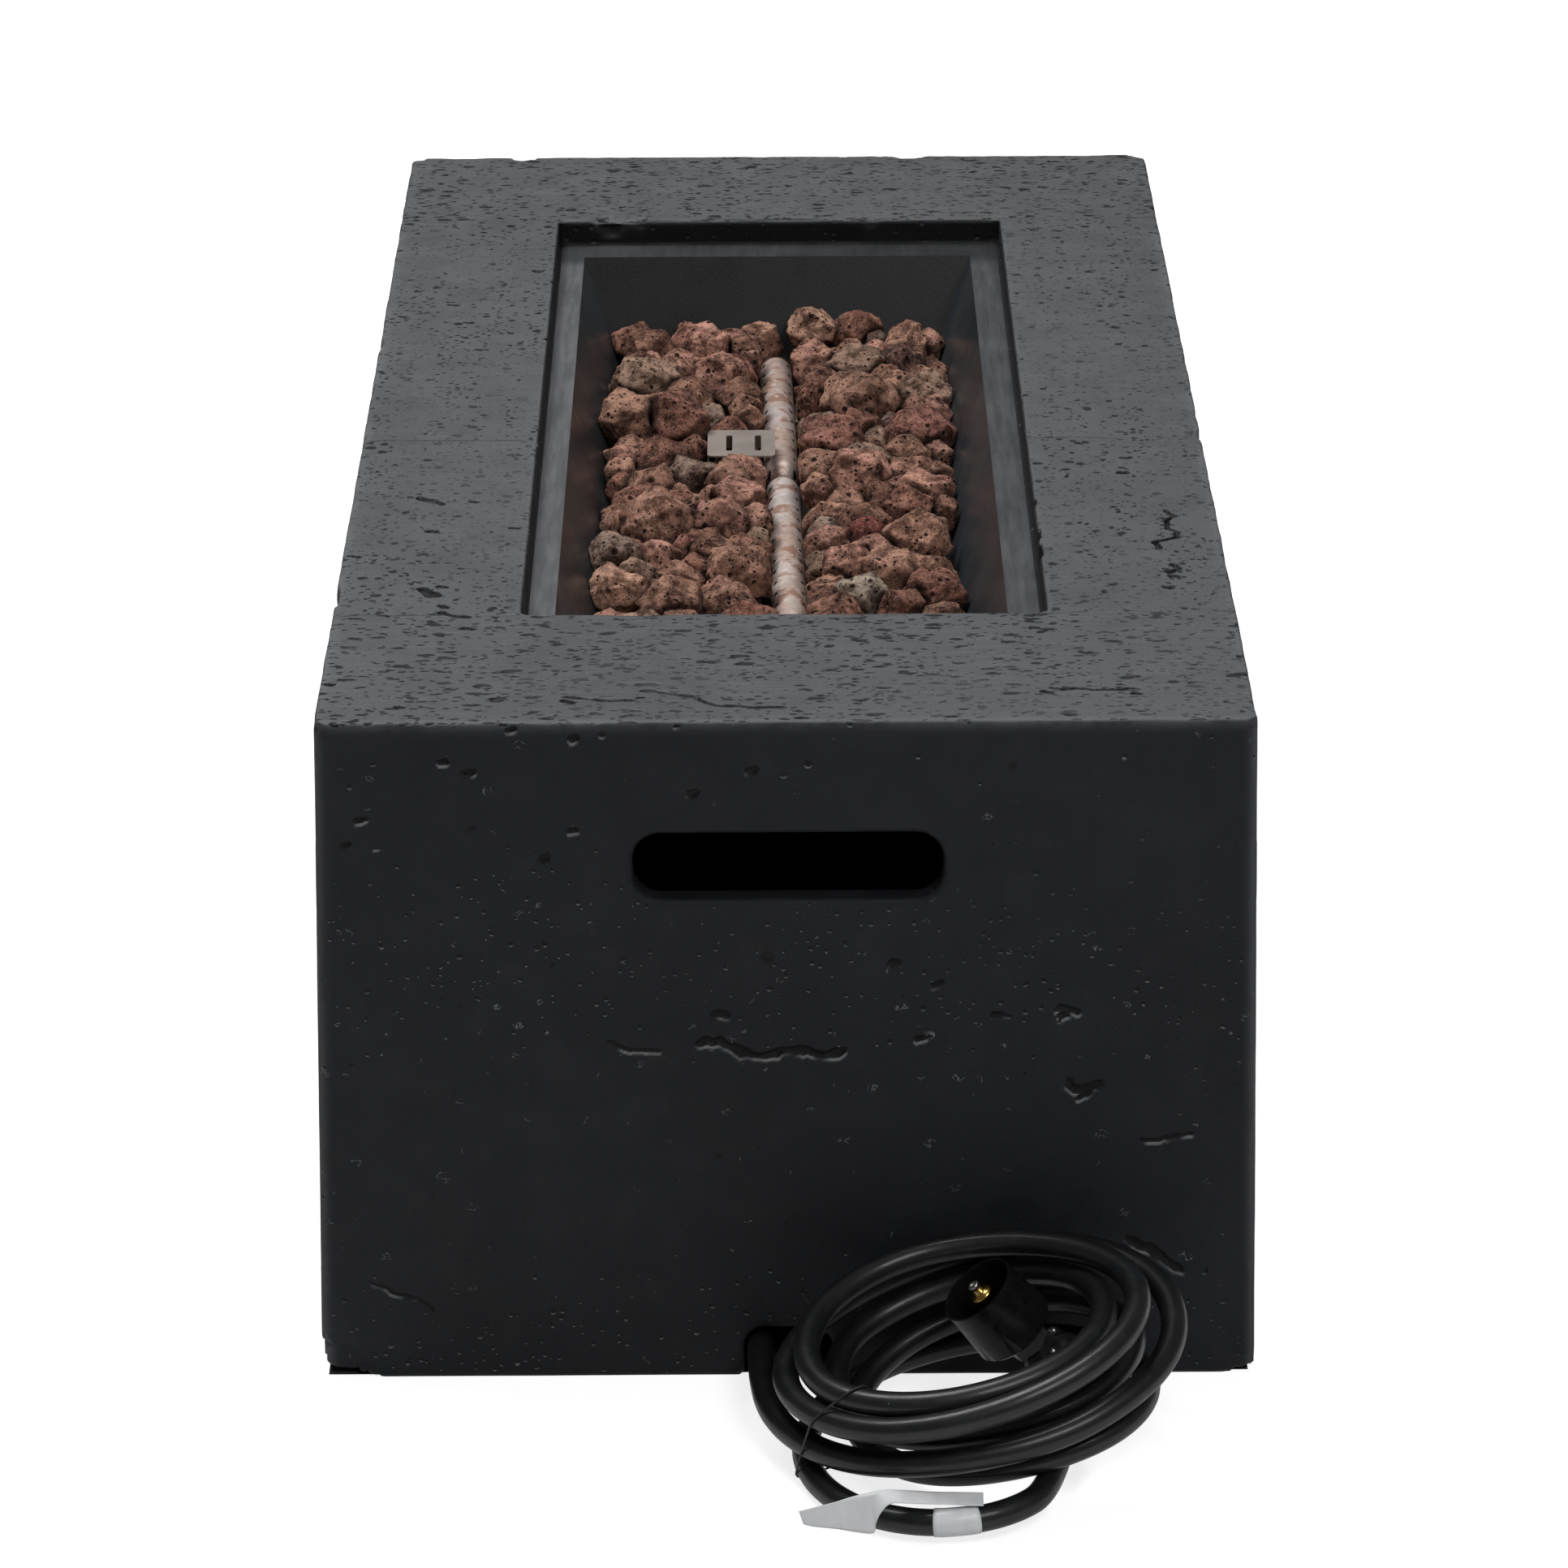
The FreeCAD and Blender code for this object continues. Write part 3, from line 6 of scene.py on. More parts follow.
import bmesh
import bpy
import numpy as np
from mathutils import Matrix, Vector
from mathutils.bvhtree import BVHTree
from mathutils.geometry import convex_hull_2d


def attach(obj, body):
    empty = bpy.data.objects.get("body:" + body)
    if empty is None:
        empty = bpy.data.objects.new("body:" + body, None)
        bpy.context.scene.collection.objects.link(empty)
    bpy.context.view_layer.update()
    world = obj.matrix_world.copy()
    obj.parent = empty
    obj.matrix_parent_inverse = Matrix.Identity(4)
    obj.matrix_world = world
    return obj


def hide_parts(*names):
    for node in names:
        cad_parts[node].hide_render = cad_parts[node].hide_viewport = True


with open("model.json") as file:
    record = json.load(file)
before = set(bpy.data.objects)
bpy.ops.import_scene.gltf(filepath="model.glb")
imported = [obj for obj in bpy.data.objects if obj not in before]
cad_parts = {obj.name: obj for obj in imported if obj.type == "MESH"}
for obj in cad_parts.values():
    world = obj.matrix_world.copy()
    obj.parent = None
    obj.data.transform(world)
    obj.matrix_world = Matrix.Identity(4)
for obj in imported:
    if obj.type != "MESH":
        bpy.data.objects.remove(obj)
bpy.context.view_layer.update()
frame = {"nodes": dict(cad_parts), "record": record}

# Fire pit table: a dark cast body, a black pan of lava rock round a tube burner, and a coiled gas hose.
# It stands on the floor, with the end that has the hose notch facing -Y. Blender's unit is the metre, and
# lists of places are in millimetres.

NODES = frame["nodes"]
rng = random.Random(7)

# Camera: place in metres, angles in radians, lens and sensor in millimetres
CAMERA_PLACE = (-0.01044, -3.58760, 1.65838)
CAMERA_PITCH = 0.400215
CAMERA_YAW = 0.003060
CAMERA_ROLL = -0.004333
CAMERA_LENS = 139.17
SENSOR = 36.0

# Body: the same sizes as the solid
MM = 0.001
BASE_W = 533.0 * MM
BASE_L = 1067.0 * MM
HEIGHT = 400.0 * MM
LEAN = 8.0 / 400.0
OPEN_W = 300.0 * MM
OPEN_L = 737.0 * MM
OPEN_Y = 8.0 * MM
# handle slots, hose notch and control recess: middle of the box, its width and height, and corner radius
SLOT = (1.0, 313.8, 172.0, 39.6, 16.0)
NOTCH = (0.0, 0.0, 50.0, 60.0, 12.0)
POCKET = (0.0, 210.0, 150.0, 80.0, 8.0)

# Detail of the cast surface
CAST_GRID = 4.0 * MM
LIP_R = 1.8 * MM
SOLID_EDGE_R = 5.0 * MM
TOP_EDGE_R = 2.2 * MM
CORNER_R = 7.0
JOINTS = [
    # place along the top, width
    (-362.0, 4.0), (-66.0, 4.0), (379.0, 4.0),
]
TOP_CRACKS = [
    # points across and along the top, width, depth
    ([(228, -197), (233, -208), (227, -214), (226, -228), (233, -233), (230, -243), (219, -251), (222, -262)],
     3.8, 3.0),
    ([(226, -287), (230, -296), (223, -300)], 4.5, 2.6),
    ([(-70, -482), (-53, -488), (-39, -500), (-17, -505), (-2, -503)], 3.6, 2.4),
    ([(-121, -488), (-98, -492), (-84, -493)], 3.6, 2.0),
    ([(-216, -168), (-205, -180)], 6.0, 2.5),
    ([(-208, -320), (-202, -330)], 7.0, 3.0),
    ([(-196, -358), (-182, -366)], 5.0, 2.5),
    ([(148, -478), (172, -481), (196, -480)], 3.2, 2.0),
]
FRONT_CRACKS = [
    # points across and up the front, width, depth
    ([(-48, 208), (-37, 210), (-29, 204), (-18, 200), (-6, 202), (12, 203), (20, 200), (31, 202)], 4.5, 3.0),
    ([(-41, 226), (-34, 225)], 5.0, 2.0),
    ([(-99, 208), (-86, 204), (-72, 203)], 3.0, 1.6),
    ([(226, 151), (213, 148), (200, 147)], 2.6, 1.4),
    ([(191, 86), (203, 79), (212, 74), (222, 66)], 5.0, 2.0),
    ([(-236, 61), (-222, 54), (-210, 49), (-201, 42)], 2.2, 1.2),
    ([(150, 228), (162, 226)], 4.0, 1.8),
    ([(157, 182), (166, 178), (174, 181)], 5.0, 1.8),
]
TOP_PITS = [
    (-214, 197), (-161, 268), (-185, -175), (-158, -220), (-208, -226), (-198, -317), (-196, -349),
    (-252, -267), (-179, -383), (-120, -493), (-102, -492), (-253, -467), (145, -484), (194, -486),
    (-213, -500), (226, -305), (222, -324), (206, -130), (210, -104),
]
FRONT_PITS = [
    (-234, 343), (-242, 327), (-188, 377), (-174, 371), (-151, 396), (-116, 390), (-118, 335), (-133, 319),
    (-59, 399), (-19, 371), (-50, 357), (-39, 225), (60, 256), (84, 243), (154, 223), (166, 174), (118, 224),
    (75, 208),
]
TOP_MARKS = TOP_CRACKS + [([(x - 2, y), (x + 2, y - 1)], 4.2, 2.8) for x, y in TOP_PITS]
FRONT_MARKS = FRONT_CRACKS + [([(x - 2, z), (x + 2, z + 1)], 3.8, 2.0) for x, z in FRONT_PITS]
MARK_REACH = 14 * MM
CHIPS = [
    # place, reach, depth
    ((-115, 377, 400), 17.0, 3.6), ((-96, 378, 400), 9.0, 2.4), ((62, 377, 400), 8.0, 1.6),
    ((150, -262, 396), 15.0, 2.6), ((150, -235, 398), 10.0, 2.0), ((150, -180, 399), 7.0, 1.4),
    ((-262, -533, 0), 34.0, 6.0), ((-262, -528, 398), 12.0, 2.4), ((262, -528, 398), 10.0, 2.0),
    ((-262, -330, 398), 22.0, 2.0), ((262, -60, 398), 16.0, 1.8), ((-262, 120, 398), 18.0, 1.8),
    ((240, 533, 0), 20.0, 4.0), ((-180, 528, 398), 14.0, 2.0), ((90, 528, 398), 18.0, 1.8),
    ((-256, 526, 397), 12.0, 3.0), ((256, 526, 397), 12.0, 2.5), ((262, -533, 0), 16.0, 3.0),
]

# Pan, burner and rocks
FLANGE_TOP = 382.5 * MM
PAN_X = -1.5 * MM
PAN_W = 262.0 * MM
PAN_L = 683.0 * MM
PAN_SLOPE = 0.37
PAN_FLOOR = 287.5 * MM
TUBE_R = 11.0 * MM
TUBE_X = 1.8 * MM
TUBE_Z = 315.0 * MM
TUBE_LEN = 588.0 * MM
TUBE_TURN = math.radians(0.92)
PORT_PITCH = 18.5 * MM
PORT_ASIDE = 8.2 * MM
PORT_W = 1.2 * MM
PORT_L = 2.7 * MM

# Hose: the route and turns of the solid, in millimetres but for its diameter
HOSE_D = 14.8 * MM
LEAD = [
    (-195.0, -32.0, 150.0), (-195.0, -32.0, 105.0), (-190.0, -50.0, 55.0), (-172.0, -90.0, 18.0),
    (-145.0, -145.0, 8.4), (-105.0, -235.0, 8.4), (-70.0, -330.0, 8.4), (-32.0, -420.0, 8.4),
    (-15.5, -505.0, 8.6),
]
LEAD_IN = 20.0
COIL_HEADING = Vector((0.03, -1.0, 0.0)).normalized()
LOOPS = [
    # centre x, centre y, half width, half depth, height, rise to the back, rise to the right
    (99.0, -588.5, 114.0, 114.0, 38.5, 10.0, 11.0),
    (102.5, -633.0, 105.5, 77.5, 80.0, 10.0, 27.0),
    (92.0, -628.5, 81.0, 67.0, 85.0, 10.0, 13.5),
    (101.5, -615.5, 74.5, 65.5, 62.5, 2.5, 18.5),
    (118.5, -611.0, 79.5, 66.0, 37.0, 9.0, 20.0),
    (104.0, -634.0, 95.0, 92.5, 20.5, 3.0, 11.0),
    (11.5, -653.0, 75.5, 56.5, 0.0, 11.5, -0.5),
]
NUDGES = [
    # turn, and how far the hose lies to the right of, behind and above the plain loops, in millimetres
    (0.0, 0, 0, 0), (0.12, -1.5, -1.5, 2), (0.25, 0, 0.5, 5.5), (0.36, 2.5, -0.5, 4), (0.46, 4, -2, 1),
    (0.68, 0, 0, 0), (0.9, 0, 0, 0), (1.04, 0.4, 0.2, 0.6), (1.18, -0.5, -2.2, -2.6), (1.4, 0, 0, 0),
    (1.58, 2.5, 1.5, 0.5), (1.8, 0, 2, 0.5), (1.9, 0, 0, 0), (2.11, -4, -3.5, -3), (2.35, 0, -0.5, -0.5),
    (2.75, 0, -0.6, 0.6), (2.92, -2.2, 0.4, 0.6), (3.17, 0, -4, -10.5), (3.27, 1.5, -4, -9),
    (3.38, 4, -5.5, -7), (3.47, 4.5, -3, -3), (3.68, 0, 0, 0), (3.87, -2.5, 0, 1.5),
    (4.02, -3.2, -0.8, 0.4), (4.15, -1.8, -3.4, -2.9), (4.36, 1.5, -1.5, -1), (4.6, 0, 0, 0),
    (4.85, 0, 0, 0), (5.1, -1.5, 0.2, -1), (5.4, 0, -0.5, 0),
]
COIL_TURNS = 5.4
POINTS_PER_TURN = 24
NUT_AXIS = Vector((-0.61, -0.136, 0.776)).normalized()
NUT_MOUTH = Vector((104.5, -601.0, 90.0)) * MM
NUT_LEN = 38.0 * MM
NIPPLE_OUT = 4.0 * MM
NIPPLE_TIP = NUT_MOUTH + NUT_AXIS * NIPPLE_OUT
OUTLET_AXIS = Vector((0.0, -0.985, -0.17)).normalized()
REG_CENTRE = NUT_MOUTH - NUT_AXIS * (NUT_LEN + 36.0 * MM)
HOSE_END = REG_CENTRE + OUTLET_AXIS * (24.0 + 9.0 + 22.0) * MM

# Nipple in the nut and the plated ring on its tip: distances back from the tip, and radii, in millimetres
NIPPLE = [(2.8, 1.0), (3.0, 2.8), (5.6, 2.9), (6.4, 4.4), (7.2, 6.6), (9.6, 6.9), (10.4, 5.9), (12.0, 5.6),
          (14.0, 6.2), (18.0, 8.3), (21.0, 9.2), (34.0, 10.0), (44.0, 9.0), (44.0, 2.0)]
NIPPLE_RING = [(3.0, 2.6), (2.8, 3.1), (0.6, 3.3), (0.0, 2.9), (0.0, 1.4), (0.8, 1.0), (3.4, 0.9)]

# String tie: a place in its plane, the plane's normal, and the string's size and slack
TIE_FROM = Vector((17.0, -680.0, 51.0)) * MM
TIE_NORMAL = Vector((0.436, -0.753, -0.492)).normalized()
TIE_D = 1.2 * MM
TIE_CLEAR = 0.7 * MM

# Paper tag: the sleeve's turn and half length, the paper, and the folded tail as edges from top to bottom
TAG_TURN = 5.25
TAG_HALF = 12.5 * MM
TAG_SHEET = 0.3 * MM
TAG_TAIL = [
    ((104.5, -716.5, 26.8), (104.5, -723.6, 22.6)),
    ((90.0, -716.5, 27.2), (90.0, -724.0, 23.4)),
    ((77.5, -716.8, 27.6), (76.0, -724.5, 24.2)),
    ((66.0, -717.4, 28.8), (63.0, -725.4, 25.6)),
    ((57.0, -718.4, 30.0), (54.0, -726.4, 25.4)),
    ((50.5, -719.8, 30.8), (48.8, -727.4, 20.6)),
    ((46.0, -721.2, 31.0), (46.2, -728.2, 14.6)),
    ((41.5, -722.8, 30.6), (45.0, -728.6, 9.0)),
    ((33.0, -724.6, 29.2), (36.0, -728.6, 9.8)),
    ((24.6, -726.0, 27.0), (26.0, -728.4, 11.2)),
    ((14.0, -726.8, 24.4), (14.0, -728.2, 12.8)),
    ((4.5, -727.2, 22.0), (7.0, -728.0, 14.5)),
]


# Numbers over space

def scatter(cells, seed):
    """Three random numbers from 0 to 1 for each cell of a lattice."""
    cells = cells.astype(np.int64)
    mixed = (cells[..., 0] * 73856093) ^ (cells[..., 1] * 19349663) ^ (cells[..., 2] * 83492791)
    mixed = (mixed ^ (seed * 2654435761)) & 0xFFFFFFFF
    draws = []
    for turn in (1, 2, 3):
        mixed = ((mixed ^ (mixed >> 15)) * 1274126177 + turn * 374761393) & 0xFFFFFFFF
        mixed = mixed ^ (mixed >> 13)
        draws.append((mixed & 0xFFFFFF) / float(0x1000000))
    return np.stack(draws, -1)


def smooth_noise(points, size, seed):
    """Smooth random values from -1 to 1 over space, each swell about size across."""
    place = points / size
    cell = np.floor(place)
    part = place - cell
    part = part * part * (3 - 2 * part)
    total = np.zeros(len(points))
    for corner in itertools.product((0, 1), repeat=3):
        corner = np.array(corner)
        weight = np.prod(np.where(corner == 1, part, 1 - part), axis=1)
        total += weight * scatter(cell + corner, seed)[:, 0]
    return total * 2 - 1


def rough_noise(points, size, seed, octaves=3):
    """Smooth noise with finer and fainter noise on top of it."""
    total = np.zeros(len(points))
    for octave in range(octaves):
        total += smooth_noise(points, size / 2 ** octave, seed + octave) * 0.5 ** octave
    return total


def pit_depth(points, size, seed, share, radius):
    """How deep each point lies in scattered oval pits, from 0 to 1, with at most one pit in each cell."""
    place = points / size
    cell = np.floor(place)
    depth = np.zeros(len(points))
    for offset in itertools.product((-1, 0, 1), repeat=3):
        other = cell + np.array(offset)
        draw = scatter(other, seed + 101)
        gap = place - other - scatter(other, seed)
        reach = radius[0] + (radius[1] - radius[0]) * draw[:, 0] ** 2
        inside = 1 - np.linalg.norm(gap, axis=1) / reach
        depth = np.where(draw[:, 1] < share, np.maximum(depth, inside), depth)
    return np.clip(depth, 0, 1)


def ramp(value, low, high):
    """From 0 at low to 1 at high, smoothly."""
    part = np.clip((value - low) / (high - low), 0, 1)
    return part * part * (3 - 2 * part)


def crack_depth(flat, seed, cracks):
    """How far each point of a face lies into the drawn cracks, in metres."""
    depth = np.zeros(len(flat))
    bend = np.stack([rough_noise(np.c_[flat, flat[:, 0] * 0], 9.0 * MM, seed + i, 3) for i in (0, 9)], 1)
    flat = flat + bend * 1.6 * MM
    for line, width, deep in cracks:
        line = np.array(line) * MM
        near = np.full(len(flat), 1.0)
        for a, b in zip(line[:-1], line[1:]):
            along = np.clip(((flat - a) @ (b - a)) / ((b - a) @ (b - a)), 0, 1)
            near = np.minimum(near, np.linalg.norm(flat - a - along[:, None] * (b - a), axis=1))
        depth = np.maximum(depth, deep * MM * (1 - ramp(near, width * 0.18 * MM, width * 0.62 * MM)))
    return depth


# Materials

class Shade:
    """One procedural material: a Principled shader and the nodes that feed it."""

    def __init__(self, name, colour, rough, metal=0.0, **sockets):
        self.mat = bpy.data.materials.new(name)
        self.mat.use_nodes = True
        self.nodes = self.mat.node_tree.nodes
        self.links = self.mat.node_tree.links
        self.bsdf = self.nodes["Principled BSDF"]
        self.put(self.bsdf.inputs["Base Color"], colour)
        self.put(self.bsdf.inputs["Roughness"], rough)
        self.put(self.bsdf.inputs["Metallic"], metal)
        for key, value in sockets.items():
            self.put(self.bsdf.inputs[key.replace("_", " ")], value)
        self.place = self.add("TexCoord").outputs["Object"]

    def put(self, socket, value):
        """Links a socket to another, or sets its value; a colour of three numbers gets an alpha of 1."""
        if isinstance(value, bpy.types.NodeSocket):
            self.links.new(value, socket)
        elif socket.type == "RGBA" and len(value) == 3:
            socket.default_value = (*value, 1.0)
        else:
            socket.default_value = value

    def add(self, kind, inputs=(), **settings):
        """A new node with its settings made and values or links on its inputs."""
        node = self.nodes.new("ShaderNode" + kind)
        for key, value in settings.items():
            setattr(node, key, value)
        for key, value in dict(inputs).items():
            self.put(node.inputs[key], value)
        return node

    def stretch(self, scale, move=(0, 0, 0), vector=None):
        """The place, scaled by axis and then moved."""
        inputs = {"Vector": vector or self.place, "Scale": scale, "Location": move}
        return self.add("Mapping", inputs).outputs["Vector"]

    def noise(self, scale, detail=4.0, rough=0.55, vector=None):
        inputs = {"Vector": vector or self.place, "Scale": scale, "Detail": detail, "Roughness": rough}
        return self.add("TexNoise", inputs).outputs["Fac"]

    def warped(self, size, amount):
        """The place, pushed about by a colour noise."""
        cloud = self.add("TexNoise", {"Vector": self.place, "Scale": size, "Detail": 3.0})
        push = self.add("VectorMath", {0: cloud.outputs["Color"], 1: (0.5, 0.5, 0.5)}, operation="SUBTRACT")
        push = self.add("VectorMath", {0: push.outputs[0], "Scale": amount}, operation="SCALE")
        return self.add("VectorMath", {0: self.place, 1: push.outputs[0]}, operation="ADD").outputs[0]

    def pits(self, scale, share, low, high, move=(0, 0, 0), vector=None):
        """1 inside scattered spots of low to high radius, at most one in each cell of a stretched lattice."""
        inputs = {"Vector": self.stretch(scale, move, vector), "Scale": 1.0}
        node = self.add("TexVoronoi", inputs, feature="F1")
        split = self.add("SeparateColor", {0: node.outputs["Color"]})
        reach = self.math("POWER", split.outputs["Red"], 2.0)
        reach = self.plus(self.times(reach, high - low), low)
        near = self.math("DIVIDE", node.outputs["Distance"], reach)
        spot = self.step(near, 0.65, 1.0, 1.0, 0.0)
        return self.times(spot, self.math("LESS_THAN", split.outputs["Green"], share))

    def math(self, operation, a, b=0.0, clamp=False):
        return self.add("Math", {0: a, 1: b}, operation=operation, use_clamp=clamp).outputs[0]

    def times(self, a, b):
        return self.math("MULTIPLY", a, b)

    def plus(self, a, b):
        return self.math("ADD", a, b)

    def minus(self, a, b, clamp=False):
        return self.math("SUBTRACT", a, b, clamp)

    def most(self, first, *others):
        """The largest of some values."""
        for other in others:
            first = self.math("MAXIMUM", first, other)
        return first

    def size(self, a):
        """A value without its sign."""
        return self.math("ABSOLUTE", a)

    def step(self, value, low, high, to_low=0.0, to_high=1.0):
        """Maps a value smoothly from low..high to to_low..to_high."""
        inputs = {"Value": value, "From Min": low, "From Max": high, "To Min": to_low, "To Max": to_high}
        return self.add("MapRange", inputs, interpolation_type="SMOOTHSTEP").outputs["Result"]

    def mix(self, share, a, b, blend="MIX"):
        inputs = {"Factor": share, 6: a, 7: b}
        return self.add("Mix", inputs, data_type="RGBA", blend_type=blend).outputs[2]

    def layer(self, name, output="Fac"):
        """A value stored on the mesh's points."""
        return self.add("Attribute", attribute_name=name).outputs[output]

    def axes(self, vector):
        return self.add("SeparateXYZ", {0: vector}).outputs[:3]

    def facing(self):
        """The parts of the surface's normal along X, Y and Z."""
        return self.axes(self.add("NewGeometry").outputs["Normal"])

    def bump(self, height, depth, strength):
        node = self.add("Bump", {"Height": height, "Distance": depth, "Strength": strength})
        self.put(self.bsdf.inputs["Normal"], node.outputs["Normal"])

    def colour(self, value):
        self.put(self.bsdf.inputs["Base Color"], value)

    def rough(self, value):
        self.put(self.bsdf.inputs["Roughness"], value)


def concrete():
    """Dark fibre cement: sanded, dusty and full of short pits on top, smoother and darker on the sides; the
    pale top and dark sides are partly painted light from above and painted shade.
    """
    s = Shade("cast_concrete", (0.03, 0.032, 0.035), 0.75, Specular_IOR_Level=0.22)
    _, _, upward = s.facing()
    x, y, z = s.axes(s.place)
    up = s.times(s.step(upward, 0.5, 0.95), s.step(z, 0.386, 0.394))
    ends = s.math("GREATER_THAN", s.size(s.minus(y, OPEN_Y)), OPEN_L / 2)
    bent = s.warped(160.0, 0.0035)
    cloud = s.noise(5.0, 6.0, 0.6)
    patch = s.noise(34.0, 4.0, 0.6)
    grain = s.noise(900.0, 3.0, 0.7)
    streak = s.noise(1.0, 5.0, 0.6, s.stretch((22.0, 420.0, 420.0)))
    # long pits on the two end strips, rounder ones in columns along the side strips
    long_pits = s.most(s.pits((70, 190, 190), 0.62, 0.16, 0.46, vector=bent),
                       s.pits((150, 360, 360), 0.60, 0.22, 0.50, (3, 5, 7), bent))
    column = s.step(s.noise(1.0, 2.0, 0.5, s.stretch((75.0, 6.0, 6.0))), 0.42, 0.54, 0.40, 1.0)
    round_pits = s.most(s.pits((115, 135, 135), 0.56, 0.16, 0.46, (2, 3, 4), bent),
                        s.pits((230, 300, 300), 0.60, 0.22, 0.48, (8, 1, 6), bent))
    round_pits = s.times(round_pits, column)
    crowd = s.step(s.noise(11.0, 3.0, 0.6), 0.34, 0.56, 0.55, 1.0)
    top_pits = s.plus(s.times(round_pits, s.minus(1.0, ends)), s.times(long_pits, ends))
    top_pits = s.times(top_pits, crowd)
    # sparse pits with painted highlights on their lips, and short crooked painted glints, on the sides
    few = s.step(s.noise(9.0, 3.0, 0.6), 0.38, 0.56, 0.35, 1.0)
    side_pits = s.times(s.pits((80, 80, 105), 0.30, 0.06, 0.24, (5, 2, 9), bent), few)
    thread = s.size(s.minus(s.noise(210.0, 2.0, 0.5, bent), 0.5))
    glint = s.times(s.step(thread, 0.010, 0.028, 1.0, 0.0),
                    s.pits((62, 62, 78), 0.30, 0.10, 0.30, (1, 7, 3), bent))
    lips = s.times(s.pits((80, 80, 105), 0.30, 0.06, 0.24, (5, 2, 9.14), bent), few)
    small = s.pits((210, 210, 260), 0.16, 0.12, 0.40, (4, 8, 1), bent)
    small_lips = s.pits((210, 210, 260), 0.16, 0.12, 0.34, (4, 8, 1.24), bent)
    side_pits = s.most(side_pits, s.times(small, few))
    lips = s.most(lips, s.times(small_lips, few))
    lips = s.most(s.minus(lips, side_pits, True), s.times(glint, few))
    # adds the painted highlights on the lower lips of the front cracks
    lips = s.most(s.times(lips, 0.8), s.layer("shine"))
    # colours
    top = s.mix(s.step(cloud, 0.3, 0.7), (0.074, 0.0765, 0.082), (0.094, 0.097, 0.103))
    top = s.mix(s.step(patch, 0.35, 0.7, 0.0, 0.5), top, (0.116, 0.119, 0.126))
    bright = s.plus(s.times(ends, 0.25), 0.35)
    top = s.mix(s.times(s.step(streak, 0.50, 0.72), bright), top, (0.150, 0.154, 0.162))
    top = s.mix(s.step(streak, 0.28, 0.44, 0.35, 0.0), top, (0.056, 0.058, 0.062))
    top = s.mix(s.step(grain, 0.38, 0.60, 0.0, 0.6), top, (0.058, 0.060, 0.064))
    side = s.mix(s.step(cloud, 0.3, 0.75), (0.0112, 0.0120, 0.0137), (0.0182, 0.0196, 0.0222))
    side = s.mix(s.step(patch, 0.42, 0.75, 0.0, 0.4), side, (0.029, 0.0306, 0.0335))
    side = s.mix(s.step(grain, 0.4, 0.65, 0.0, 0.35), side, (0.008, 0.0086, 0.010))
    # painted highlights on the pit lips and glints of the sides
    side = s.mix(lips, side, (0.21, 0.215, 0.22))
    # painted shade: the wall at the back of the opening is painted near black, and its edge gets less of the
    # pale edge colour
    behind = s.times(s.step(y, 0.362, 0.368), s.step(y, 0.384, 0.390, 1.0, 0.0))
    back_wall_shade = s.times(s.step(s.size(x), OPEN_W / 2, OPEN_W / 2 + 6 * MM, 1.0, 0.0), behind)
    side = s.mix(s.times(back_wall_shade, 0.75), side, (0.003, 0.0032, 0.0036))
    # the up-facing top takes the pale colours and the sides the dark ones: dust and sanding, and also painted
    # light from above and painted shade on the sides
    base = s.mix(up, side, top)
    # edges paler: wear, and also a painted highlight along the rounded rim
    paler_share = s.times(s.step(patch, 0.3, 0.6, 0.15, 0.55), s.step(y, 0.33, 0.37, 1.0, 0.25))
    base = s.mix(s.times(s.layer("edge"), paler_share), base, (0.14, 0.143, 0.15))
    flat_pits = s.plus(s.times(side_pits, s.minus(1.0, up)), s.times(top_pits, up))
    pits = s.most(flat_pits, s.step(s.layer("pit"), 0.10, 0.45))
    # pits and cracks painted near black, painted shade inside them; the joints darker too
    s.colour(s.mix(s.times(pits, 0.97), base, (0.006, 0.0064, 0.0076)))
    s.rough(s.step(patch, 0.3, 0.7, 0.5, 0.72))
    height = s.plus(s.plus(s.times(flat_pits, -1.0), s.times(grain, 0.16)), s.times(patch, 0.5))
    s.bump(height, 0.0011, 0.85)
    return s.mat


